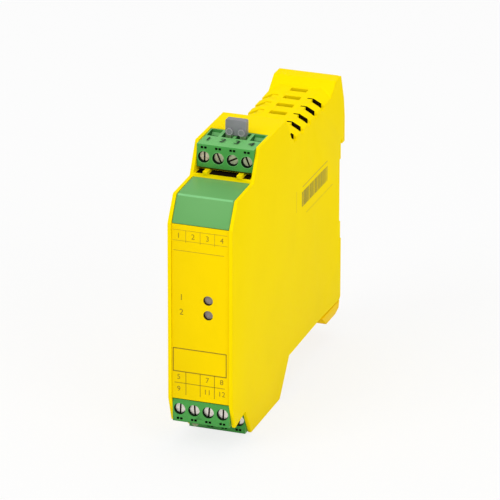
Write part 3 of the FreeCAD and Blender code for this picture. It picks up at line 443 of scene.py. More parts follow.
# Changes of shape that the skins make to their CAD nodes; each moves one corner, in metres
NEAR = 0.01 * MM
SEAM_SIDE = 10.05 * MM
COVER_SINK = 0.025 * MM
PANEL_SINK = 0.3 * MM
FRONT_LIMIT = NEAR - RAIL_DEPTH * MM
LIGHT_GUIDES = ("light_guide_upper", "light_guide_lower")
LIGHT_SIDE = 2.7 * MM
LIGHT_RISE = 1.3 * MM
LIGHT_SINK = 0.9 * MM
GUIDE_END = 0.35 * MM
HOLE_RIM_WITHIN = 1.7 * MM
GRIP_NARROWING = 7.2 / 8.6
GRIP_LOWERING = 5.4 / 6.7
GRIP_TOP_SPREAD = 0.4 * MM
GRIP_SHOULDER_DROP = 0.8 * MM
GRIP_SHOULDER_RISE = 0.4 * MM


def sunk_cover(place):
    """The side cover's outer face, set in so that its print stays inside the part's box"""
    if place.x > HALF_WIDTH * MM - NEAR:
        place.x -= COVER_SINK


def sunk_front(place):
    """A front face set back a little between the side walls"""
    if place.y < FRONT_LIMIT:
        place.y += PANEL_SINK


def sunk_panel(place):
    """The front panel set back, with its two light holes raised"""
    sunk_front(place)
    for guide in LIGHT_GUIDES:
        if math.hypot(place.x - LIGHT_SIDE, place.z - middle_height(guide)) < HOLE_RIM_WITHIN:
            place.z += LIGHT_RISE
            return


def raised_guide(place):
    """A light guide behind its raised hole, with its end deeper in"""
    place.z += LIGHT_RISE
    if place.y < FRONT_LIMIT + GUIDE_END:
        place.y += LIGHT_SINK


def slimmer_grip(place):
    """The bridge's grip narrower, lower and squarer than its plain solid"""
    low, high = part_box("bridge_grip")
    if place.z > high.z - NEAR:
        place.x += math.copysign(GRIP_TOP_SPREAD, place.x)
    elif abs(place.z - high.z + GRIP_SHOULDER_DROP) < NEAR:
        place.z += GRIP_SHOULDER_RISE
    place.x *= GRIP_NARROWING
    place.z = low.z + (place.z - low.z) * GRIP_LOWERING


# Skins, which replace their CAD nodes
DOUBLE_DISTANCE = 1e-6
FLAT_ANGLE = math.radians(0.6)
SHARP_ANGLE = math.radians(28)


def lies_on_seam(edge):
    """Whether an edge runs in the plane where the side cover meets the shell"""
    return all(abs(corner.co.x - SEAM_SIDE) < NEAR for corner in edge.verts)


def rounded_copy(cad_name, radius, steps=2, shortest=0.4, rim=None, reshape=None):
    """The CAD node again, with its doubles merged and its sharp edges rounded, except on the seam
    and where they are shorter than the shortest; radius and shortest are in mm; a rim finish, if
    given, goes onto the rounded faces as a painted highlight"""
    shape = bmesh.new()
    shape.from_mesh(frame["nodes"][cad_name].data)
    bmesh.ops.remove_doubles(shape, verts=shape.verts, dist=DOUBLE_DISTANCE)
    bmesh.ops.dissolve_limit(shape, angle_limit=FLAT_ANGLE, verts=shape.verts, edges=shape.edges)
    if reshape:
        for corner in shape.verts:
            reshape(corner.co)
    weight = shape.edges.layers.float.new("bevel_weight_edge")
    for edge in shape.edges:
        if len(edge.link_faces) != 2 or edge.calc_face_angle(0.0) < SHARP_ANGLE:
            continue
        if edge.calc_length() < shortest * MM or lies_on_seam(edge):
            edge.smooth = False
        else:
            edge[weight] = 1.0
    for face in shape.faces:
        face.smooth = True
    finishes = [FINISHES[SLOT_OF[cad_name]]] + ([rim] if rim else [])
    piece = add_object(f"{cad_name}_skin", mesh_from(shape, f"{cad_name}_rounded", finishes))
    edges = piece.modifiers.new("rounded_edges", "BEVEL")
    edges.limit_method = "WEIGHT"
    edges.width = radius * MM
    edges.segments = steps
    edges.use_clamp_overlap = True
    edges.harden_normals = True
    if rim:
        edges.material = 1
    apply_modifiers(piece)
    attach(piece, BODY_OF[cad_name])
    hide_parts(cad_name)
    return piece


def repaint(piece, finish, chosen):
    """Gives another finish to the faces whose middle, in mm, and normal the test chooses"""
    piece.data.materials.append(finish)
    place = len(piece.data.materials) - 1
    for face in piece.data.polygons:
        if chosen(face.center / MM, face.normal):
            face.material_index = place


def block(name, body, low, high, finish, slot_name):
    """A plain box between two corners, given in mm as (X, depth, height)"""
    shape = bmesh.new()
    bmesh.ops.create_cube(shape, size=1.0)
    first, last = at(*low), at(*high)
    bmesh.ops.scale(shape, vec=last - first, verts=shape.verts)
    bmesh.ops.translate(shape, vec=(first + last) / 2, verts=shape.verts)
    piece = add_object(name, mesh_from(shape, name, [finish]))
    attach(piece, body)


# Geometry Nodes trees for what repeats
def with_finish(tree, geometry, finish):
    made = node(tree, "GeometryNodeSetMaterial", {"Geometry": geometry, "Material": finish})
    return made.outputs[0]


def grown(tree, name, body, finish_slot=None, **values):
    """Runs a tree with the given inputs and keeps the result as one plain mesh"""
    holder = add_object(name, bpy.data.meshes.new(name))
    modifier = holder.modifiers.new("grow", "NODES")
    modifier.node_group = tree
    for socket in tree.interface.items_tree:
        if socket.item_type == "SOCKET" and socket.in_out == "INPUT" and socket.name in values:
            modifier[socket.identifier] = values[socket.name]
    apply_modifiers(holder)
    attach(holder, body)
    return holder


def bar_row_tree():
    """A row of flat bars: a count of them from a start, by a step, each of one size, with widths
    that may vary along the step"""
    tree, given, result = group_tree("bar_row", "GeometryNodeTree", [
        ("Count", "NodeSocketInt", 3),
        ("Start", "NodeSocketVector", None),
        ("Step", "NodeSocketVector", None),
        ("Bar Size", "NodeSocketVector", (1, 1, 1)),
        ("Least Width", "NodeSocketFloat", 1.0),
        ("Seed", "NodeSocketInt", 3),
        ("Finish", "NodeSocketMaterial", None),
    ], [("Geometry", "NodeSocketGeometry")])
    line = node(tree, "GeometryNodeMeshLine", {
        "Count": given["Count"], "Start Location": given["Start"], "Offset": given["Step"]})
    bar = node(tree, "GeometryNodeMeshCube", {"Size": given["Bar Size"]})
    width = node(tree, "FunctionNodeRandomValue", {
        2: given["Least Width"], 3: 1.0, "Seed": given["Seed"]}, data_type="FLOAT")
    scale = node(tree, "ShaderNodeCombineXYZ", {0: 1.0, 1: width.outputs[1], 2: 1.0})
    placed = node(tree, "GeometryNodeInstanceOnPoints", {
        "Points": line.outputs[0], "Instance": bar.outputs[0], "Scale": scale.outputs[0]})
    real = node(tree, "GeometryNodeRealizeInstances", {"Geometry": placed.outputs[0]})
    tree.links.new(with_finish(tree, real.outputs[0], given["Finish"]), result[0])
    return tree


def ring_row_tree():
    """A row of round moulded rims on a face that looks forward"""
    tree, given, result = group_tree("ring_row", "GeometryNodeTree", [
        ("Count", "NodeSocketInt", 4),
        ("Start", "NodeSocketVector", None),
        ("Step", "NodeSocketVector", None),
        ("Ring Radius", "NodeSocketFloat", 2.0 * MM),
        ("Rim Radius", "NodeSocketFloat", 0.2 * MM),
        ("Finish", "NodeSocketMaterial", None),
    ], [("Geometry", "NodeSocketGeometry")])
    line = node(tree, "GeometryNodeMeshLine", {
        "Count": given["Count"], "Start Location": given["Start"], "Offset": given["Step"]})
    path = node(tree, "GeometryNodeCurvePrimitiveCircle", {
        "Resolution": 48, "Radius": given["Ring Radius"]})
    profile = node(tree, "GeometryNodeCurvePrimitiveCircle", {
        "Resolution": 10, "Radius": given["Rim Radius"]})
    ring = node(tree, "GeometryNodeCurveToMesh", {
        "Curve": path.outputs[0], "Profile Curve": profile.outputs[0]})
    facing = node(tree, "GeometryNodeTransform", {
        "Geometry": ring.outputs[0], "Rotation": (math.radians(90), 0, 0)})
    placed = node(tree, "GeometryNodeInstanceOnPoints", {
        "Points": line.outputs[0], "Instance": facing.outputs[0]})
    real = node(tree, "GeometryNodeRealizeInstances", {"Geometry": placed.outputs[0]})
    smooth = node(tree, "GeometryNodeSetShadeSmooth", {"Geometry": real.outputs[0]})
    tree.links.new(with_finish(tree, smooth.outputs[0], given["Finish"]), result[0])
    return tree


def terminal_screw_tree():
    """A cheese-head terminal screw along +Y: tapered head, drive slot and shank"""
    tree, given, result = group_tree("terminal_screw", "GeometryNodeTree", [
        ("Place", "NodeSocketVector", None),
        ("Slot Turn", "NodeSocketFloat", 0.0),
        ("Head Radius", "NodeSocketFloat", 1.85 * MM),
        ("Head Thickness", "NodeSocketFloat", 1.7 * MM),
        ("Taper", "NodeSocketFloat", 0.1 * MM),
        ("Slot Width", "NodeSocketFloat", 0.6 * MM),
        ("Slot Depth", "NodeSocketFloat", 0.9 * MM),
        ("Shank Radius", "NodeSocketFloat", 1.2 * MM),
        ("Length", "NodeSocketFloat", 8.35 * MM),
        ("Finish", "NodeSocketMaterial", None),
        ("Shade Finish", "NodeSocketMaterial", None),
    ], [("Geometry", "NodeSocketGeometry")])
    front_radius = maths(tree, "SUBTRACT", given["Head Radius"], given["Taper"])
    head = node(tree, "GeometryNodeMeshCone", {
        "Vertices": 48, "Radius Top": given["Head Radius"], "Radius Bottom": front_radius,
        "Depth": given["Head Thickness"]})
    shank_length = maths(tree, "SUBTRACT", given["Length"], given["Head Thickness"])
    shank = node(tree, "GeometryNodeMeshCylinder", {
        "Vertices": 32, "Radius": given["Shank Radius"], "Depth": shank_length})
    shank_middle = node(tree, "ShaderNodeCombineXYZ", {
        2: maths(tree, "ADD", given["Head Thickness"],
                 maths(tree, "MULTIPLY", shank_length, 0.5))})
    shank_set = node(tree, "GeometryNodeTransform", {
        "Geometry": shank.outputs[0], "Translation": shank_middle.outputs[0]})
    # The slot's cutter is longer than the head is wide, and is centred on the head's front face
    slot_size = node(tree, "ShaderNodeCombineXYZ", {
        0: given["Slot Width"], 1: maths(tree, "MULTIPLY", given["Head Radius"], 2.4),
        2: maths(tree, "MULTIPLY", given["Slot Depth"], 2.0)})
    slot = node(tree, "GeometryNodeMeshCube", {"Size": slot_size.outputs[0]})
    slot_turn = node(tree, "ShaderNodeCombineXYZ", {2: given["Slot Turn"]})
    slot_set = node(tree, "GeometryNodeTransform", {
        "Geometry": slot.outputs[0], "Rotation": slot_turn.outputs[0]})
    cut = node(tree, "GeometryNodeMeshBoolean", {
        "Mesh 1": with_finish(tree, head.outputs[0], given["Finish"]),
        "Mesh 2": with_finish(tree, slot_set.outputs[0], given["Shade Finish"])},
        operation="DIFFERENCE", solver="EXACT")
    steel_shank = with_finish(tree, shank_set.outputs[0], given["Finish"])
    whole = node(tree, "GeometryNodeJoinGeometry")
    tree.links.new(cut.outputs[0], whole.inputs[0])
    tree.links.new(steel_shank, whole.inputs[0])
    real = node(tree, "GeometryNodeRealizeInstances", {"Geometry": whole.outputs[0]})
    facing = node(tree, "GeometryNodeTransform", {
        "Geometry": real.outputs[0], "Rotation": (math.radians(-90), 0, 0),
        "Translation": given["Place"]})
    tree.links.new(facing.outputs[0], result[0])
    return tree


def number_tree():
    """A printed number, flat, in the middle of its place, turned by Euler angles"""
    tree, given, result = group_tree("printed_number", "GeometryNodeTree", [
        ("Number", "NodeSocketString", ""),
        ("Size", "NodeSocketFloat", 2.0 * MM),
        ("Place", "NodeSocketVector", None),
        ("Turn", "NodeSocketVector", None),
        ("Finish", "NodeSocketMaterial", None),
    ], [("Geometry", "NodeSocketGeometry")])
    text = node(tree, "GeometryNodeStringToCurves", {
        "String": given["Number"], "Size": given["Size"]}, align_x="CENTER", align_y="MIDDLE")
    real = node(tree, "GeometryNodeRealizeInstances", {"Geometry": text.outputs[0]})
    filled = node(tree, "GeometryNodeFillCurve", {"Curve": real.outputs[0]})
    placed = node(tree, "GeometryNodeTransform", {
        "Geometry": filled.outputs[0], "Translation": given["Place"], "Rotation": given["Turn"]})
    tree.links.new(with_finish(tree, placed.outputs[0], given["Finish"]), result[0])
    return tree


def merged(name, body, pieces):
    """Several grown pieces as one"""
    shape = bmesh.new()
    finishes = []
    for piece in pieces:
        before = len(shape.faces)
        shape.from_mesh(piece.data)
        shape.faces.ensure_lookup_table()
        for face in shape.faces[before:]:
            own = piece.data.materials[face.material_index]
            if own not in finishes:
                finishes.append(own)
            face.material_index = finishes.index(own)
    mesh = mesh_from(shape, name, finishes)
    for piece in pieces:
        bpy.data.objects.remove(piece)
    whole = add_object(name, mesh)
    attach(whole, body)


BAR_ROW = bar_row_tree()
RING_ROW = ring_row_tree()
SCREW = terminal_screw_tree()
NUMBER = number_tree()

# Which way each plug's outer face looks, 1 for up and -1 for down
OUTWARD = {"top": 1, "front": -1, "rear": -1}

# Skins of the moulded nodes; a plug's short edges, round its openings, stay sharp
SKINS = {}
for cad_name, radius, reshape in (
        ("housing_shell", 0.3, None), ("side_cover", 0.3, sunk_cover),
        ("front_panel", 0.15, sunk_panel), ("blank_cover", 0.5, sunk_front),
        ("light_guide_upper", 0.2, raised_guide), ("light_guide_lower", 0.2, raised_guide),
        ("foot_latch", 0.3, None)):
    SKINS[cad_name] = rounded_copy(cad_name, radius, reshape=reshape)
for plug in OUTWARD:
    SKINS[plug] = rounded_copy(f"{plug}_plug", 0.12, shortest=1.2)
# The bridge's rounded edges take the paler grey of painted highlight
rounded_copy("bridge_grip", 0.22, rim=EXTRA["bridge_edge_highlight"], reshape=slimmer_grip)

# Painted shade on the cut sides of the right-hand roof slots, and a black sheet of painted shade
# under the roof, where the inside looks dark
ROOF_START = 59.4
ROOF_END = 98.7
ROOF_LEVEL = 91.4
ROOF_RISE = 1.4 / (ROOF_END - ROOF_START)
ROOF_SKIN = 0.25
CUT_SPAN = (4.9, 10.04)
CUT_LOWEST = 87.5
CUT_UPWARD = 0.35
ROOF_SHADE_SHEET = ((-9.7, 61.0, 87.9), (9.9, 99.0, 88.05))


def roof_height(depth):
    return ROOF_LEVEL + (depth - ROOF_START) * ROOF_RISE


def in_roof_slot_shade(middle, normal):
    """The sides of the roof slots right of the middle, between the roof's skin and its inside,
    which get painted shade
    """
    depth = middle.y + RAIL_DEPTH
    height = middle.z + RAIL_HEIGHT
    in_slots = CUT_SPAN[0] < middle.x < CUT_SPAN[1] and ROOF_START < depth < ROOF_END
    in_roof = CUT_LOWEST < height < roof_height(depth) - ROOF_SKIN
    return in_slots and in_roof and normal.z < CUT_UPWARD


repaint(SKINS["housing_shell"], EXTRA["painted_shade_black"], in_roof_slot_shade)
block("roof_shade_sheet", "housing", *ROOF_SHADE_SHEET, EXTRA["painted_shade_black"], "housing_yellow")

# Painted highlight on the rounding between the cap's slanted front and its top, chosen by the
# direction that it faces
BEND_SIDEWAYS = 0.1
BEND_FORWARD = 0.1
BEND_UPWARD = (0.6, 0.97)


def in_cap_bend_highlight(middle, normal):
    forward = abs(normal.x) < BEND_SIDEWAYS and normal.y < -BEND_FORWARD
    return forward and BEND_UPWARD[0] < normal.z < BEND_UPWARD[1]


repaint(SKINS["blank_cover"], EXTRA["bend_highlight_green"], in_cap_bend_highlight)

# On the flat of the roof only a narrow gap of each side slot stays open
SLOT_HALF = 1.35
GAP = 0.7
SLOT_ROWS = 4
FLAT_SPANS = {"right": (5.19, 7.1), "left": (-7.1, -5.19)}
BRIDGE_UNDERSIDE = 90.3
BRIDGE_OVERLAP = 0.01
BRIDGE_SINK = 0.02
for row in range(SLOT_ROWS):
    front = VENT_FIRST + VENT_PITCH * row - SLOT_HALF - BRIDGE_OVERLAP
    rear = VENT_FIRST + VENT_PITCH * row + SLOT_HALF - GAP
    level = roof_height(front) - BRIDGE_SINK
    for hand, (first, last) in FLAT_SPANS.items():
        block(f"slot_bridge_{hand}_{row + 1}", "housing", (first, front, BRIDGE_UNDERSIDE),
              (last, rear, level), FINISHES["housing_yellow"], "housing_yellow")

# The spring, which the latch presses down onto the housing's ledge; all its edges stay as they are
spring = rounded_copy("latch_spring", 0.01, steps=1, shortest=100.0)
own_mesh(spring)

# Painted shade on the walls of the two light holes
HOLE_WALL_WITHIN = 1.72
HOLE_WALL_FORWARD = 0.5


def in_light_hole(middle, normal):
    nearest = min(math.hypot(middle.x - LIGHT_SIDE / MM,
                             middle.z - (middle_height(guide) + LIGHT_RISE) / MM)
                  for guide in LIGHT_GUIDES)
    return nearest < HOLE_WALL_WITHIN and abs(normal.y) < HOLE_WALL_FORWARD


repaint(SKINS["front_panel"], EXTRA["slot_shade"], in_light_hole)

# Sizes and finishes of a plug's screws and numbers, by the way that its outer face looks
HEAD_RADIUS = {1: 1.72 * MM, -1: 1.84 * MM}
# The heads on the plugs that look down get the paler copy of the steel, as painted light
HEAD_FINISH = {1: FINISHES["screw_steel"], -1: EXTRA["lit_screw_steel"]}
NUMBER_SIZE = {1: 4.2 * MM, -1: 3.0 * MM}
NUMBER_DEPTH = {1: 4.5 * MM, -1: 5.0 * MM}
NUMBER_TURN = {1: 0, -1: math.pi}


def outer_height(plug):
    """The height of a plug's outer face, in metres above the frame's origin"""
    low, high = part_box(f"{plug}_plug")
    return high.z if OUTWARD[plug] > 0 else low.z


# Terminal screws, each on its own body, with their drive slots turned by these degrees
SCREW_SINK = 0.2 * MM
SLOT_TURNS = {"top": (0, -24, 62, -22), "front": (1, 5, -4, 3), "rear": (9, 1, -6, 4)}
for plug, turns in SLOT_TURNS.items():
    side = OUTWARD[plug]
    for pole, turn in enumerate(turns, 1):
        cad_name = f"{plug}_screw_{pole}"
        low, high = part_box(cad_name)
        screw = grown(SCREW, f"{cad_name}_turned", BODY_OF[cad_name], "screw_steel", **{
            "Place": Vector(((low.x + high.x) / 2, low.y + SCREW_SINK, (low.z + high.z) / 2)),
            "Slot Turn": math.radians(turn), "Head Radius": HEAD_RADIUS[side],
            "Length": high.y - low.y - SCREW_SINK, "Finish": HEAD_FINISH[side],
            "Shade Finish": EXTRA["slot_shade"]})
        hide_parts(cad_name)

# Plug faces given painted shade, by how far in mm they are behind the plug's front, from the
# screw's axis, beside the pole's middle and inside the plug's outer face; and painted light on the
# numbered face, which looks up
FRONT_SKIN = 0.14
WELL_END = 3.3
WELL_WITHIN = 2.02
TEST_SLOT_END = 1.3
TEST_SLOT_HALF = 1.2
TEST_SLOT_FROM_AXIS = 2.3
ENTRY_START = 3.4
ENTRY_END = 14.2
ENTRY_HALF = 1.99
ENTRY_MOUTH = 0.6
ENTRY_DEPTH = 7.5
NUMBER_FACE_WITHIN = 1.5
NUMBER_FACE_OUTWARD = 0.7


def shade_plug(plug):
    side = OUTWARD[plug]
    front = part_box(f"{plug}_plug")[0].y / MM
    outer = outer_height(plug) / MM
    axis_level = middle_height(f"{plug}_screw_1") / MM

    def in_shade(middle, normal):
        inward = middle.y - front
        from_axis = math.hypot(nearest_pole(middle.x), middle.z - axis_level)
        well = FRONT_SKIN < inward < WELL_END and from_axis < WELL_WITHIN
        in_slot = FRONT_SKIN < inward < TEST_SLOT_END and nearest_pole(middle.x) < TEST_SLOT_HALF
        return well or (in_slot and from_axis > TEST_SLOT_FROM_AXIS)

    # Faces inside a wire entry, which get painted shade
    def in_entry_shade(middle, normal):
        along = ENTRY_START < middle.y - front < ENTRY_END
        deep = ENTRY_MOUTH < (outer - middle.z) * side < ENTRY_DEPTH
        return along and deep and nearest_pole(middle.x) < ENTRY_HALF

    def on_lit_number_face(middle, normal):
        near = (outer - middle.z) * side < NUMBER_FACE_WITHIN
        return near and normal.z * side > NUMBER_FACE_OUTWARD

    repaint(SKINS[plug], EXTRA["entry_shade_green"], in_entry_shade)
    repaint(SKINS[plug], EXTRA["well_shade"], in_shade)
    # Painted light on the upper plug's numbered face
    if side > 0:
        repaint(SKINS[plug], EXTRA["painted_light_green"], on_lit_number_face)


for plug in OUTWARD:
    shade_plug(plug)

# Moulded rims round the upper screw wells and round the bridge's two bosses, in paler finishes of
# painted highlight
WELL_RIM_RADIUS = 2.14 * MM
WELL_RIM_HALF = 0.11 * MM
WELL_RIM_SINK = 0.06 * MM
BOSS_RIM_RADIUS = 1.05 * MM
BOSS_RIM_HALF = 0.1 * MM
BOSS_RIM_SINK = 0.02 * MM
BOSS_HEIGHT = 1.6 * MM
grown(RING_ROW, "top_well_rims", "top_plug", "plug_green", **{
    "Start": Vector((pole_x(0) * MM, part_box("top_plug")[0].y + WELL_RIM_SINK,
                     middle_height("top_screw_1"))),
    "Step": Vector((POLE_PITCH * MM, 0, 0)), "Ring Radius": WELL_RIM_RADIUS,
    "Rim Radius": WELL_RIM_HALF, "Finish": EXTRA["rim_highlight_green"]})
grip_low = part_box("bridge_grip")[0]
grown(RING_ROW, "bridge_boss_rims", BODY_OF["bridge_grip"], "bridge_grey", **{
    "Count": 2, "Start": Vector((pole_x(1) * GRIP_NARROWING * MM, grip_low.y + BOSS_RIM_SINK,
                                 grip_low.z + BOSS_HEIGHT * GRIP_LOWERING)),
    "Step": Vector((POLE_PITCH * GRIP_NARROWING * MM, 0, 0)), "Ring Radius": BOSS_RIM_RADIUS,
    "Rim Radius": BOSS_RIM_HALF, "Finish": EXTRA["bridge_edge_highlight"]})

# Black plates of painted shade on the shelf under the upper plug, beside and between its two tabs,
# where the gap under the plug looks dark
SHELF_SPANS = ((-9.4, -6.9), (-4.9, 4.9), (6.9, 9.4))
SHELF_DEPTHS = (21.9, 26.0)
SHELF_LEVELS = (89.1, 89.14)
for number, (first, last) in enumerate(SHELF_SPANS, 1):
    block(f"shelf_shade_{number}", "housing", (first, SHELF_DEPTHS[0], SHELF_LEVELS[0]),
          (last, SHELF_DEPTHS[1], SHELF_LEVELS[1]), EXTRA["painted_shade_black"], "housing_yellow")

# Small round stop under the front plug, with rounded rims
STOP_RADIUS = 1.1 * MM
STOP_TIP_RADIUS = 0.95 * MM
STOP_LENGTH = 1.2 * MM
STOP_ROUNDING = 0.25 * MM
STOP_SIDE = -2.5 * MM
STOP_BEHIND = 1.4 * MM
STOP_BELOW = 0.25 * MM
RIM_ANGLE = math.radians(45)
shape = bmesh.new()
bmesh.ops.create_cone(shape, cap_ends=True, segments=32, radius1=STOP_RADIUS,
                      radius2=STOP_TIP_RADIUS, depth=STOP_LENGTH)
rims = [edge for edge in shape.edges if edge.calc_face_angle(0.0) > RIM_ANGLE]
bmesh.ops.bevel(shape, geom=rims, offset=STOP_ROUNDING, segments=4, profile=0.5,
                affect="EDGES", clamp_overlap=True)
for face in shape.faces:
    face.smooth = True
bmesh.ops.rotate(shape, matrix=Matrix.Rotation(math.radians(90), 3, "X"), verts=shape.verts)
plug_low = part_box("front_plug")[0]
bmesh.ops.translate(shape, verts=shape.verts,
                    vec=(STOP_SIDE, plug_low.y + STOP_BEHIND, plug_low.z - STOP_BELOW))
stop = add_object("front_plug_stop", mesh_from(shape, "front_plug_stop", [EXTRA["nub_grey"]]))
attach(stop, "front_plug")

# Printed marks on the front panel
PRINT_THICKNESS = 0.02 * MM
panel_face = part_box("front_panel")[0].y + PANEL_SINK - PRINT_THICKNESS
upright = Vector((math.radians(90), 0, 0))
dark = EXTRA["print_dark"]
faint = EXTRA["print_faint"]


def panel_bars(name, count, start, step, size, finish):
    """Bars on the panel: start and step as (X, height), size as (wide, high), all in mm"""
    return grown(BAR_ROW, name, "housing", "panel_yellow", **{
        "Count": count,
        "Start": Vector((start[0] * MM, panel_face, (start[1] - RAIL_HEIGHT) * MM)),
        "Step": Vector((step[0] * MM, 0, step[1] * MM)),
        "Bar Size": Vector((size[0] * MM, PRINT_THICKNESS, size[1] * MM)), "Finish": finish})


PANEL_MARKS = {
    "panel_marking_row": (
        ("row_lines", 2, (-0.1, 77.3), (0, -3.7), (19.0, 0.16), faint),
        ("row_dividers", 3, (-5.0, 75.2), (5.0, 0), (0.16, 4.3), faint),
        ("strip_line", 1, (-0.5, 70.1), (1.0, 0), (17.6, 0.2), faint)),
    "panel_label_field": (
        ("field_lines", 2, (-0.25, 35.4), (0, -8.2), (18.7, 0.34), dark),
        ("field_ends", 2, (-9.5, 31.3), (18.5, 0), (0.3, 8.2), dark)),
    "panel_table": (
        ("table_line", 1, (-0.3, 23.1), (1.0, 0), (17.6, 0.2), dark),
        ("table_dividers", 3, (-5.1, 23.1), (5.0, 0), (0.2, 8.2), dark)),
}
for name, rows in PANEL_MARKS.items():
    merged(name, "housing", [panel_bars(*row) for row in rows])


def panel_number(text, x, height, size):
    """A number on the panel; its place and size are in mm"""
    return grown(NUMBER, f"number_{text}", "housing", "panel_yellow", **{
        "Number": text, "Size": size * MM, "Turn": upright,
        "Place": Vector((x * MM, panel_face, (height - RAIL_HEIGHT) * MM)), "Finish": dark})


# Rows of numbers by their height and shift to the right, and one number beside each light
NUMBER_ROWS = (
    (75.3, 0.0, ("1", "2", "3", "4")),
    (25.2, -0.1, ("5", "", "7", "8")),
    (20.9, -0.1, ("9", "", "11", "12")),
)
ROW_NUMBER_SIZE = 2.6
LIGHT_NUMBER_SIZE = 3.0
LIGHT_NUMBER_X = -6.6
numbers = [panel_number(text, pole_x(pole) + shift, height, ROW_NUMBER_SIZE)
           for height, shift, texts in NUMBER_ROWS
           for pole, text in enumerate(texts) if text]
for number, guide in enumerate(LIGHT_GUIDES, 1):
    height = (middle_height(guide) + LIGHT_RISE) / MM + RAIL_HEIGHT
    numbers.append(panel_number(str(number), LIGHT_NUMBER_X, height, LIGHT_NUMBER_SIZE))
merged("panel_numbers", "housing", numbers)

# Numbers on the plugs' outer faces, each printed twice a little apart for bolder strokes
PRINT_LIFT = 0.02 * MM
BOLD_SHIFTS = (-0.09, 0.09)
LEVEL_PER_SHIFT = 0.02
for order, (plug, side) in enumerate(OUTWARD.items()):
    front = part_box(f"{plug}_plug")[0].y
    level = outer_height(plug) + side * PRINT_LIFT
    marks = [
        grown(NUMBER, f"{plug}_number_{pole}", f"{plug}_plug", None, **{
            "Number": str(order * POLES + pole + 1), "Size": NUMBER_SIZE[side],
            "Place": Vector(((pole_x(pole) + shift) * MM, front + NUMBER_DEPTH[side],
                             level + shift * LEVEL_PER_SHIFT * MM)),
            "Turn": Vector((NUMBER_TURN[side], 0, 0)), "Finish": EXTRA["print_black"]})
        for pole in range(POLES) for shift in BOLD_SHIFTS]
    merged(f"{plug}_plug_numbers", f"{plug}_plug", marks)

# Plain code bars and thin frame lines on the side cover
COVER_PRINT_SINK = 0.012 * MM
cover_face = HALF_WIDTH * MM - COVER_PRINT_SINK


def side_bars(name, count, start, step, size, finish, least=1.0, seed=3):
    """Bars on the side: start and step as (depth, height), size as (long, high), in mm"""
    return grown(BAR_ROW, name, "housing", "housing_yellow", **{
        "Count": count, "Start": Vector((cover_face, (start[0] - RAIL_DEPTH) * MM,
                                         (start[1] - RAIL_HEIGHT) * MM)),
        "Step": Vector((0, step[0] * MM, step[1] * MM)),
        "Bar Size": Vector((PRINT_THICKNESS, size[0] * MM, size[1] * MM)),
        "Least Width": least, "Seed": seed, "Finish": finish})


SIDE_MARKS = (
    ("code_bars", 26, (69.6, 64.7), (1.04, 0), (0.66, 5.4), EXTRA["code_dark"], 0.35, 11),
    ("code_line", 1, (82.9, 69.1), (1.0, 0), (26.0, 0.3), faint),
    ("frame_upright", 1, (63.8, 65.8), (1.0, 0), (0.14, 7.6), faint),
    ("frame_line", 1, (87.8, 58.5), (1.0, 0), (28.0, 0.14), faint),
)
merged("side_code_field", "housing", [side_bars(*row) for row in SIDE_MARKS])

# Pale floor, which glows a little to what looks at it, and even light from all round
FLOOR_HALF = 6.0
FLOOR_TONE = 0.86
FLOOR_GLOW_SHARE = 0.8
AIR_STRENGTH = 0.62
shape = bmesh.new()
bmesh.ops.create_grid(shape, x_segments=1, y_segments=1, size=FLOOR_HALF)
floor_mesh = mesh_from(shape, "floor")
floor_mesh.transform(Matrix.Translation((0, 0, cad_box[0].z)))
floor = add_object("floor", floor_mesh)
floor_look = bpy.data.materials.new("pale_floor")
tree = cleared_nodes(floor_look)
matt = node(tree, "ShaderNodeBsdfDiffuse", {"Color": (FLOOR_TONE, FLOOR_TONE, FLOOR_TONE, 1)})
glow = node(tree, "ShaderNodeEmission", {"Color": (1, 1, 1, 1), "Strength": 1.0})
path = node(tree, "ShaderNodeLightPath")
seen = maths(tree, "MAXIMUM", maths(tree, "MAXIMUM", path.outputs["Is Camera Ray"],
                                    path.outputs["Is Glossy Ray"]),
             path.outputs["Is Transmission Ray"])
share = maths(tree, "MULTIPLY", seen, FLOOR_GLOW_SHARE)
mixed = node(tree, "ShaderNodeMixShader", {0: share, 1: matt.outputs[0], 2: glow.outputs[0]})
node(tree, "ShaderNodeOutputMaterial", {"Surface": mixed.outputs[0]})
floor_mesh.materials.append(floor_look)

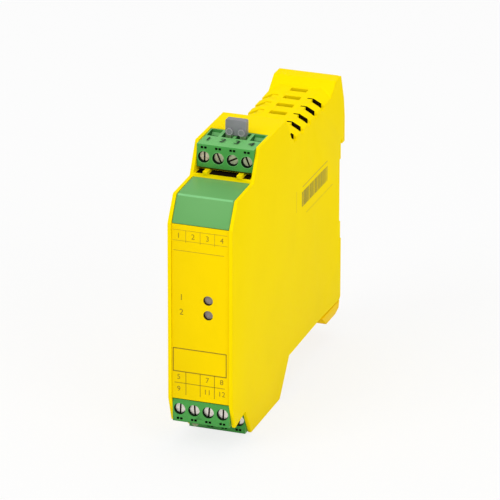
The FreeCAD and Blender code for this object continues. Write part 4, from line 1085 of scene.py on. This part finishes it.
world = bpy.data.worlds.new("studio")
bpy.context.scene.world = world
tree = cleared_nodes(world)
air = node(tree, "ShaderNodeBackground", {"Color": (1, 1, 1, 1), "Strength": AIR_STRENGTH})
white = node(tree, "ShaderNodeBackground", {"Color": (1, 1, 1, 1), "Strength": 1.0})
path = node(tree, "ShaderNodeLightPath")
mixed = node(tree, "ShaderNodeMixShader", {
    0: path.outputs["Is Camera Ray"], 1: air.outputs[0], 2: white.outputs[0]})
node(tree, "ShaderNodeOutputWorld", {"Surface": mixed.outputs[0]})

# Soft lights, all turned to the relay's middle
LIGHTS_AIM = Vector((0, -0.05, 0))


def softbox(name, place, size, power):
    """A square light, with its place and size in metres and its power in watts"""
    lamp = bpy.data.lights.new(name, "AREA")
    lamp.shape = "SQUARE"
    lamp.size = size
    lamp.energy = power
    made = add_object(name, lamp)
    made.location = place
    made.rotation_mode = "QUATERNION"
    made.rotation_quaternion = (LIGHTS_AIM - Vector(place)).to_track_quat("-Z", "Y")


softbox("key", (-0.9, -1.5, 1.5), 1.2, 14.0)
softbox("right_fill", (1.6, -0.9, 1.0), 1.2, 9.0)
softbox("top", (0.0, 0.2, 1.9), 1.4, 8.0)

# Camera at the photograph's angle
CAMERA_TURN = math.radians(19.56)
CAMERA_RISE = math.radians(22.10)
CAMERA_ROLL = math.radians(0.11)
CAMERA_DISTANCE = 1.677
CAMERA_AIM = at(0, 50, 50)
LENS = 360.0
SENSOR_WIDTH = 36.0
CLIP_START = 0.1
CLIP_END = 20.0
MOVE_RIGHT = -0.00044
MOVE_UP = 0.00208
back = Vector((math.sin(CAMERA_TURN) * math.cos(CAMERA_RISE),
               -math.cos(CAMERA_TURN) * math.cos(CAMERA_RISE), math.sin(CAMERA_RISE)))
right = Vector((math.cos(CAMERA_TURN), math.sin(CAMERA_TURN), 0))
up = back.cross(right)
right, up = (right * math.cos(CAMERA_ROLL) + up * math.sin(CAMERA_ROLL),
             up * math.cos(CAMERA_ROLL) - right * math.sin(CAMERA_ROLL))
camera_data = bpy.data.cameras.new("camera")
camera_data.lens = LENS
camera_data.sensor_width = SENSOR_WIDTH
camera_data.clip_start = CLIP_START
camera_data.clip_end = CLIP_END
camera = add_object("camera", camera_data)
aim = CAMERA_AIM + right * MOVE_RIGHT + up * MOVE_UP
turned = Matrix((right, up, back)).transposed().to_4x4()
camera.matrix_world = Matrix.Translation(aim + back * CAMERA_DISTANCE) @ turned
bpy.context.scene.camera = camera
bpy.context.scene.view_settings.view_transform = "Standard"
